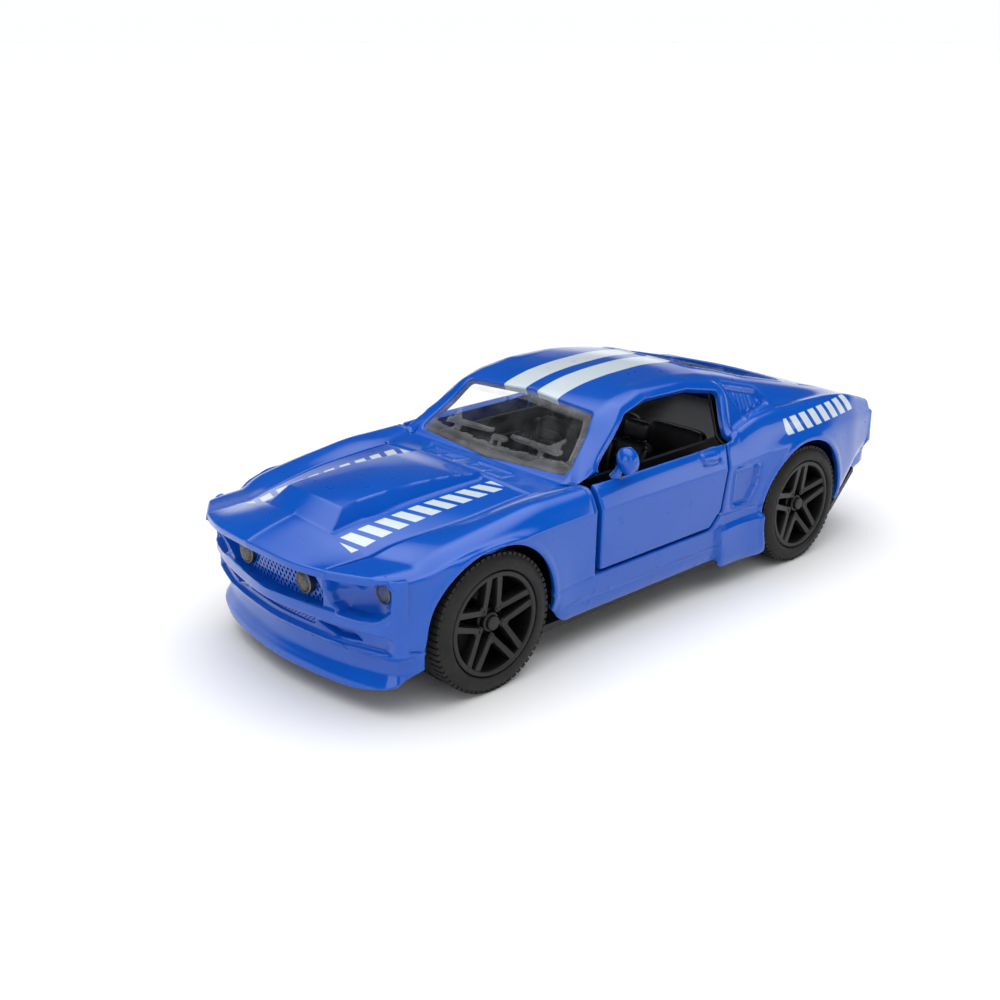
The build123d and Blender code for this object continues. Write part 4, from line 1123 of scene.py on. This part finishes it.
# ==================================================================== glazing
# One clear moulding: windscreen with a raised border and moulded-in wipers, and the
# rear screen with its border. It sits just under the roof skin.
def pane_surface(u, t, inward=0.75):
    base = body_base(u, t)
    hu, ht = 0.08, 0.006
    pu = body_base(u + hu, t) - body_base(u - hu, t)
    pt = body_base(u, t + ht) - body_base(u, t - ht)
    p = base - unit(np.cross(pu, pt)) * inward
    out = np.zeros(len(u))
    front = p[:, 0] > 0
    border = polygon_distance(p[:, 1], p[:, 2], WINDSHIELD, 0.7)
    out += 0.35 * smooth(border, -1.35, -1.05) * (1 - smooth(border, -0.55, -0.25)) * front
    for a, b in (((13.5, 28.6), (3.0, 29.4)), ((1.0, 28.4), (-9.5, 29.2))):
        out += 0.45 * notch(segment_distance(p[:, 1], p[:, 2], a, b), 0.28) * front
    frame_line = polygon_distance(p[:, 0], p[:, 1], REAR_GLASS, 0.8)
    out += 0.2 * smooth(frame_line, -1.3, -1.0) * (1 - smooth(frame_line, -0.5, -0.2)) * ~front
    return p + unit(np.cross(pu, pt)) * out[:, None]


def screen_keep(p):
    return 0.3 - polygon_distance(p[:, 1], p[:, 2], WINDSHIELD, 0.7)


def rear_screen_keep(p):
    return 0.3 - polygon_distance(p[:, 0], p[:, 1], REAR_GLASS, 0.8)


pane_t = np.concatenate([np.linspace(0, 1, 30)[:-1], np.linspace(1, 2, 30)[:-1], np.linspace(2, 2.9, 10)])
screen = trimmed_patch(pane_surface, graded(7.0, 20.6, 0.25), pane_t, screen_keep, 0.1, 0.25)
rear_screen = trimmed_patch(pane_surface, graded(-45.5, -18.0, 0.5), pane_t, rear_screen_keep, 0.1, 0.25)


def screen_frame_keep(p):
    """The windscreen's raised border and its wipers."""
    border = polygon_distance(p[:, 1], p[:, 2], WINDSHIELD, 0.7)
    ring = np.minimum(0.3 - border, border + 1.25)
    for a, b in (((13.8, 29.2), (2.5, 29.5)), ((1.5, 28.8), (-11.0, 29.5)), ((10, 28.6), (13, 30.6))):
        ring = np.maximum(ring, 0.30 - segment_distance(p[:, 1], p[:, 2], a, b))
    return ring


frame_strip = trimmed_patch(lambda u, t: pane_surface(u, t, 0.35), graded(7.0, 20.6, 0.25),
                            pane_t, screen_frame_keep, 0.08, 0.2)
piece("screen_frame", *both_sides(*frame_strip), frame_clear, "body")
screens = joined(both_sides(*screen), both_sides(*rear_screen))
piece("clear_screens", *screens, window_clear, "body", ("window_glazing",), "clear_plastic")


# ==================================================================== mirror
# Only the left door has one: a painted oval pod, its nose drawn to a shallow point,
# on a stalk at the door's front corner.
MIRROR = (12.7, 25.15, 29.85)


def mirror_ring(x, size):
    angle = np.linspace(0, 2 * pi, 40, endpoint=False)
    y = MIRROR[1] + 1.85 * size * np.cos(angle)
    z = MIRROR[2] + 2.12 * size * np.sin(angle) - 0.25 * size * np.cos(angle)
    return np.stack([MIRROR[0] + x + 0 * angle, y, z], -1)


profile = ((1.25, 0.02), (1.15, 0.22), (0.85, 0.55), (0.50, 0.84), (0.20, 0.95), (-0.05, 1.0),
           (-1.2, 0.97), (-1.35, 0.92), (-1.35, 0.84), (-1.15, 0.80))
pod = loft([mirror_ring(x, size) for x, size in profile])
stalk = rod([(12.6, 23.1, 26.9), (12.6, 23.5, 27.7), (12.6, 24.0, 28.6), (12.6, 24.7, 29.6)],
            [1.0, 0.72, 0.66, 0.7], 16, (1.2, 0.9))
piece("mirror_pod", *joined(pod, stalk), trim_paint, "left_door", ("mirror_left",), "body_paint",
      outward=True, sharp=50)


# ==================================================================== cabin
# A black moulded tub with bucket seats, a rear bench and a rear shelf, set in from
# below; the dash and wheel are separate mouldings. Lugs carry the door hinges.
def tub_shell():
    """The trough: floor, side walls with an arm rest, bulkhead and rear step."""
    rings = []
    for x, floor_z, half in ((17.2, 20.0, 17.6), (16.8, 9.2, 17.6), (15.5, 8.6, 17.6),
                             (0.0, 8.6, 17.9), (-19.5, 8.6, 17.6), (-21.2, 9.2, 17.4),
                             (-21.8, 18.4, 17.2), (-23.0, 18.9, 15.0), (-30.0, 21.5, 14.6),
                             (-42.0, 24.2, 14.2)):
        top = 25.6 if x > -22 else floor_z + 2.0
        ring = [(-half - 0.9, top), (-half, top), (-half + 0.5, max(top - 5, floor_z + 0.6)),
                (-half + 0.9, floor_z + 0.5), (-half + 1.4, floor_z), (half - 1.4, floor_z),
                (half - 0.9, floor_z + 0.5), (half - 0.5, max(top - 5, floor_z + 0.6)),
                (half, top), (half + 0.9, top), (half + 0.7, floor_z - 0.9),
                (-half - 0.7, floor_z - 0.9)]
        rings.append([(x, y, z) for y, z in ring])
    return loft(rings[::-1])


def bucket_seat(y):
    """Base, back and headrest with raised bolsters and stitched channels."""
    parts = [cushion((-0.6, y, 12.9), (5.6, 4.9, 1.7), 0.32),
             cushion((-5.9, y, 19.2), (1.25, 4.4, 6.6), 0.35, -0.20),
             cushion((-8.0, y, 27.3), (0.95, 2.5, 1.75), 0.45, -0.12)]
    for side in (-1, 1):
        parts.append(cushion((-0.4, y + side * 4.2, 14.2), (5.2, 0.95, 1.35), 0.5))
        parts.append(cushion((-5.0, y + side * 3.9, 19.6), (1.35, 1.0, 5.6), 0.5, -0.20))
        parts.append(rod([(-6.9, y + side * 1.2, 24.5), (-7.7, y + side * 1.2, 27.0)], 0.28))
    for k in range(5):
        parts.append(cushion((2.9 - 1.75 * k, y, 14.5), (0.82, 3.2, 0.42), 0.55, 0, 12, 24))
        back = 15.0 + 1.9 * k
        parts.append(cushion((-3.6 - 0.39 * k, y, back), (0.40, 2.9, 0.86), 0.55, -0.2, 12, 24))
    return parts


cabin = [tub_shell(), cushion((-5.5, 0, 11.2), (15.0, 1.9, 2.8), 0.3)]
for side in (-1, 1):
    cabin += bucket_seat(side * 9.2)
    cabin.append(cushion((-16.8, side * 7.6, 17.2), (3.4, 6.6, 1.5), 0.35))
    cabin.append(cushion((-20.6, side * 7.6, 21.2), (1.1, 6.4, 4.0), 0.35, -0.25))
    cabin.append(cushion((3.0, side * 17.0, 21.4), (8.0, 0.7, 0.8), 0.4))
    lug = turned(rounded_profile([(0.02, -0.6), (1.0, -0.6), (1.0, 0.6), (0.02, 0.6)], 0.12), 30)
    upright = np.stack([lug[0][:, 0], lug[0][:, 2], lug[0][:, 1]], -1)
    cabin.append(moved((upright, [face[::-1] for face in lug[1]]), (15.1, side * 23.3, 13.1)))
    cabin.append(cushion((15.1, side * 20.6, 13.1), (0.9, 2.6, 0.6), 0.2))
piece("cabin_mouldings", *joined(*cabin), seat_plastic, "body", ("interior_tub",), "black_plastic",
      outward=True)

# Black trims line the rear quarters, inside the painted skin.
def trim_surface(u, t):
    base = body_base(u, t)
    pu = body_base(u + 0.08, t) - body_base(u - 0.08, t)
    pt = body_base(u, t + 0.006) - body_base(u, t - 0.006)
    ribs = 0.12 * np.sin(u * 2 * pi / 3.2)
    return base - unit(np.cross(pu, pt)) * (1.9 + ribs)[:, None]


def trim_keep(p):
    window = polygon_distance(p[:, 0], p[:, 2], SIDE_WINDOW, 0.7)
    rear = polygon_distance(p[:, 0], p[:, 1], REAR_GLASS, 0.8)
    return np.minimum(np.where(p[:, 0] > -20, window, 50.0), rear) - 0.3


quarter = trimmed_patch(trim_surface, graded(-43.0, -16.0, 0.5), np.linspace(1.6, 4.6, 60), trim_keep,
                        0.1, 0.4, False, True)
piece("quarter_trims", *joined(quarter, other_side(*quarter)), seat_plastic, "body")

# The dash: a padded roll over an instrument cowl, air vents, and a centre stack.
dash = [cushion((16.0, 0, 22.2), (3.4, 17.0, 2.6), 0.25), cushion((13.6, 0, 19.4), (1.2, 16.6, 2.2), 0.3),
        cushion((14.2, 9.2, 24.5), (2.4, 4.1, 1.3), 0.5), cushion((13.4, 0, 17.0), (1.5, 3.0, 4.4), 0.25)]
for y in (-14.0, -4.6, 4.6, 14.0):
    dash.append(cushion((12.7, y, 22.6), (0.5, 1.5, 0.75), 0.35, 0, 12, 24))
for k in range(4):
    dash.append(cushion((11.9, 0, 14.8 + 1.6 * k), (0.25, 2.2, 0.5), 0.3, 0, 10, 20))
for y in (7.5, 10.9):
    dial = turned(rounded_profile([(0.02, 0.15), (0.9, 0.15), (1.1, 0.35), (1.35, 0.3),
                                   (1.4, -0.6)], 0.1), 30)
    verts = np.stack([-dial[0][:, 1], dial[0][:, 0], dial[0][:, 2]], -1)
    dash.append(moved((verts, dial[1]), (12.3, y, 22.9)))
piece("dash_moulding", *joined(*dash), black_plastic, "body", ("dashboard",), "black_plastic",
      outward=True)


def steering_ring():
    """Rim, three flat spokes and a dished boss, facing back along x."""
    angle = np.linspace(0, 2 * pi, 61)
    path = [(0, 3.3 * cos(a), 3.3 * sin(a)) for a in angle]
    parts = [rod(path, 0.42, 12)]
    for a in (radians(90), radians(205), radians(335)):
        parts.append(rod([(0.5, 0.6 * cos(a), 0.6 * sin(a)), (0.35, 1.9 * cos(a), 1.9 * sin(a)),
                          (0.0, 3.2 * cos(a), 3.2 * sin(a))], 0.34, 10, (0.6, 1.5)))
    parts.append(cushion((0.45, 0, 0), (0.5, 1.0, 1.0), 0.7))
    parts.append(rod([(0.6, 0, 0), (3.4, 0, -0.4)], 0.42))
    return joined(*parts)


verts, faces = steering_ring()
lean = radians(25)
verts = verts @ np.array([[cos(lean), 0, sin(lean)], [0, 1, 0], [-sin(lean), 0, cos(lean)]]).T
piece("steering_ring", verts + np.array((9.8, 9.2, 22.4)), faces, black_plastic, "body",
      ("steering_wheel",), "black_plastic", outward=True)


# ==================================================================== tail
# A body-coloured moulding closes the tail: sunk lamp panel with three-bar lamps, a
# blank plate recess, a wrap-round bumper and a lower valance.
tail_x = guide((0, -64.4), (10, -64.1), (17, -63.4), (20, -62.9), (22, -62.0), (23.4, -60.6),
               (24.6, -58.6), (27, -54.5))
tail_y = guide((0, 0.0), (10, 10.0), (17, 17.0), (20, 19.9), (22, 21.5), (23.4, 22.4),
               (24.6, 22.9), (27, 23.4))
tail_step = guide((9.6, -3.4), (11.2, -2.0), (12.2, -0.5), (12.5, 0.35), (12.8, 0.6), (14.6, 0.65),
                  (15.1, 0.45), (15.5, 0.1), (16.2, -0.2), (24.2, -0.35), (25, -0.3))
LAMP_BARS = [(10.6 + 3.1 * k, 20.3) for k in range(3)]


def tail_surface(v, s):
    z = 9.8 + v * 14.6
    recess = -0.55 * smooth(-np.maximum(np.abs(s - 10.3) - 10.6, np.abs(z - 20.3) - 3.3), 0.0, 0.5)
    plate = -0.5 * smooth(-np.maximum(s - 5.2, np.abs(z - 18.6) - 1.7), -0.1, 0.25)
    rims = sum(0.4 * notch(np.maximum(np.abs(s - y) - 1.05, np.abs(z - zc) - 2.1) - 0.3, 0.28)
               for y, zc in LAMP_BARS)
    step = tail_step(z) + recess + plate + rims
    step = step * (1 - 0.8 * smooth(s, 21.5, 24.5))
    step = step + 1.3 * smooth(z, 15.6, 17.4) * (1 - smooth(z, 23.0, 24.2)) * notch(s - 22.1, 1.4)
    step = step - 0.8 * (1 - smooth(z, 15.0, 15.8)) * smooth(s, 20.0, 22.5)
    h = 0.05
    along = unit(np.stack([tail_x(s + h) - tail_x(s - h), tail_y(s + h) - tail_y(s - h)], -1))
    return np.stack([tail_x(s) - along[:, 1] * step, tail_y(s) + along[:, 0] * step, z], -1)


def tail_keep(p):
    end = np.where(p[:, 2] > 15.6, -p[:, 0] - 60.9, 50.0)
    sweep = p[:, 2] - 9.9 - 0.42 * np.maximum(0, p[:, 0] + 64)
    return np.minimum(end, sweep)


tail = trimmed_patch(tail_surface, graded(0, 1, 0.016, [(0.2, 0.06, 0.011), (0.42, 0.04, 0.01)]),
                     graded(0, 26.5, 0.22), tail_keep, 0.2, 0.8)
piece("tail_moulding", *both_sides(*tail), trim_paint, "body", ("tail_panel",), "trim_paint")
for side, word in ((1, "left"), (-1, "right")):
    bars = [cushion((-63.75 + 0.02 * (y - 10) ** 1.5, side * y, z), (0.50, 1.0, 2.05), 0.22, 0, 16, 36)
            for y, z in LAMP_BARS]
    piece(f"tail_lamp_bars_{word}", *joined(*bars), lamp_red, "body", (f"tail_lamp_{word}",),
          "lamp_red", outward=True)


# ==================================================================== running gear
# The base plate and the split motor case keep their CAD shape in black plastic; the
# axles, screws and mainspring are steel, and the three gears are natural nylon.
KEPT = ((black_plastic, ("chassis_plate", "motor_case_lower", "motor_case_upper")),
        (steel, ("chassis_screws", "front_axle", "rear_axle", "mainspring")),
        (gear_plastic, ("idler_gear", "spring_gear", "axle_pinion")))
for finish, names in KEPT:
    for name in names:
        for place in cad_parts[name].material_slots:
            place.material = finish


# ==================================================================== stage
floor = bpy.data.meshes.new("floor")
floor.from_pydata([(-30, -30, 0), (30, -30, 0), (30, 30, 0), (-30, 30, 0)], [], [(0, 1, 2, 3)])
floor_finish = Finish("floor_white", (0.93, 0.93, 0.93), 0.6)
floor_tone = floor_finish.mix(floor_finish.noise(3.0), (0.93, 0.93, 0.93), (0.95, 0.95, 0.95))
floor_finish.set("Base Color", floor_tone)
floor.materials.append(floor_finish.material)
floor_object = bpy.data.objects.new("floor", floor)
bpy.context.scene.collection.objects.link(floor_object)


def lamp(name, place, target, size, watts):
    light = bpy.data.lights.new(name, "AREA")
    light.shape = "RECTANGLE"
    light.size, light.size_y = size
    light.energy = watts
    made = bpy.data.objects.new(name, light)
    made.location = place
    made.rotation_euler = (Vector(target) - Vector(place)).to_track_quat("-Z", "Y").to_euler()
    bpy.context.scene.collection.objects.link(made)


# The room: white round the horizon, dark above it, and a wide soft light overhead.
world = bpy.data.worlds.new("studio")
world.use_nodes = True
tree = world.node_tree
sky_place = tree.nodes.new("ShaderNodeTexCoord")
sky_split = tree.nodes.new("ShaderNodeSeparateXYZ")
sky_ramp = tree.nodes.new("ShaderNodeValToRGB")
tree.links.new(sky_place.outputs["Generated"], sky_split.inputs[0])
tree.links.new(sky_split.outputs[2], sky_ramp.inputs[0])
tree.links.new(sky_ramp.outputs[0], tree.nodes["Background"].inputs[0])
tree.nodes["Background"].inputs[1].default_value = 2.4
stops = ((0.0, 0.42), (0.10, 0.42), (0.24, 0.012), (0.60, 0.012), (0.84, 1.0), (1.0, 1.0))
ramp = sky_ramp.color_ramp
while len(ramp.elements) < len(stops):
    ramp.elements.new(0.5)
for element, (where, grey) in zip(ramp.elements, stops):
    element.position = where
    element.color = (grey * 0.98, grey * 0.99, grey, 1)
bpy.context.scene.world = world
bpy.context.scene.view_settings.view_transform = "Standard"
lamp("left_softbox", (0.25, 0.60, 0.30), (0, 0, 0.02), (0.45, 0.25), 0.45)
lamp("rear_left_softbox", (-0.52, 0.62, 0.14), (0, 0, 0.02), (0.50, 0.14), 0.30)
lamp("front_softbox", (0.60, 0.10, 0.25), (0, 0, 0.02), (0.3, 0.25), 0.5)

camera_data = bpy.data.cameras.new("camera")
camera_data.lens = 45.81
camera_data.sensor_width = 36.0
camera = bpy.data.objects.new("camera", camera_data)
camera.location = (0.15456, 0.15160, 0.09191)
camera.rotation_euler = Vector((-0.6336, -0.6947, -0.3406)).to_track_quat("-Z", "Y").to_euler()
bpy.context.scene.collection.objects.link(camera)
bpy.context.scene.camera = camera

bpy.context.view_layer.update()
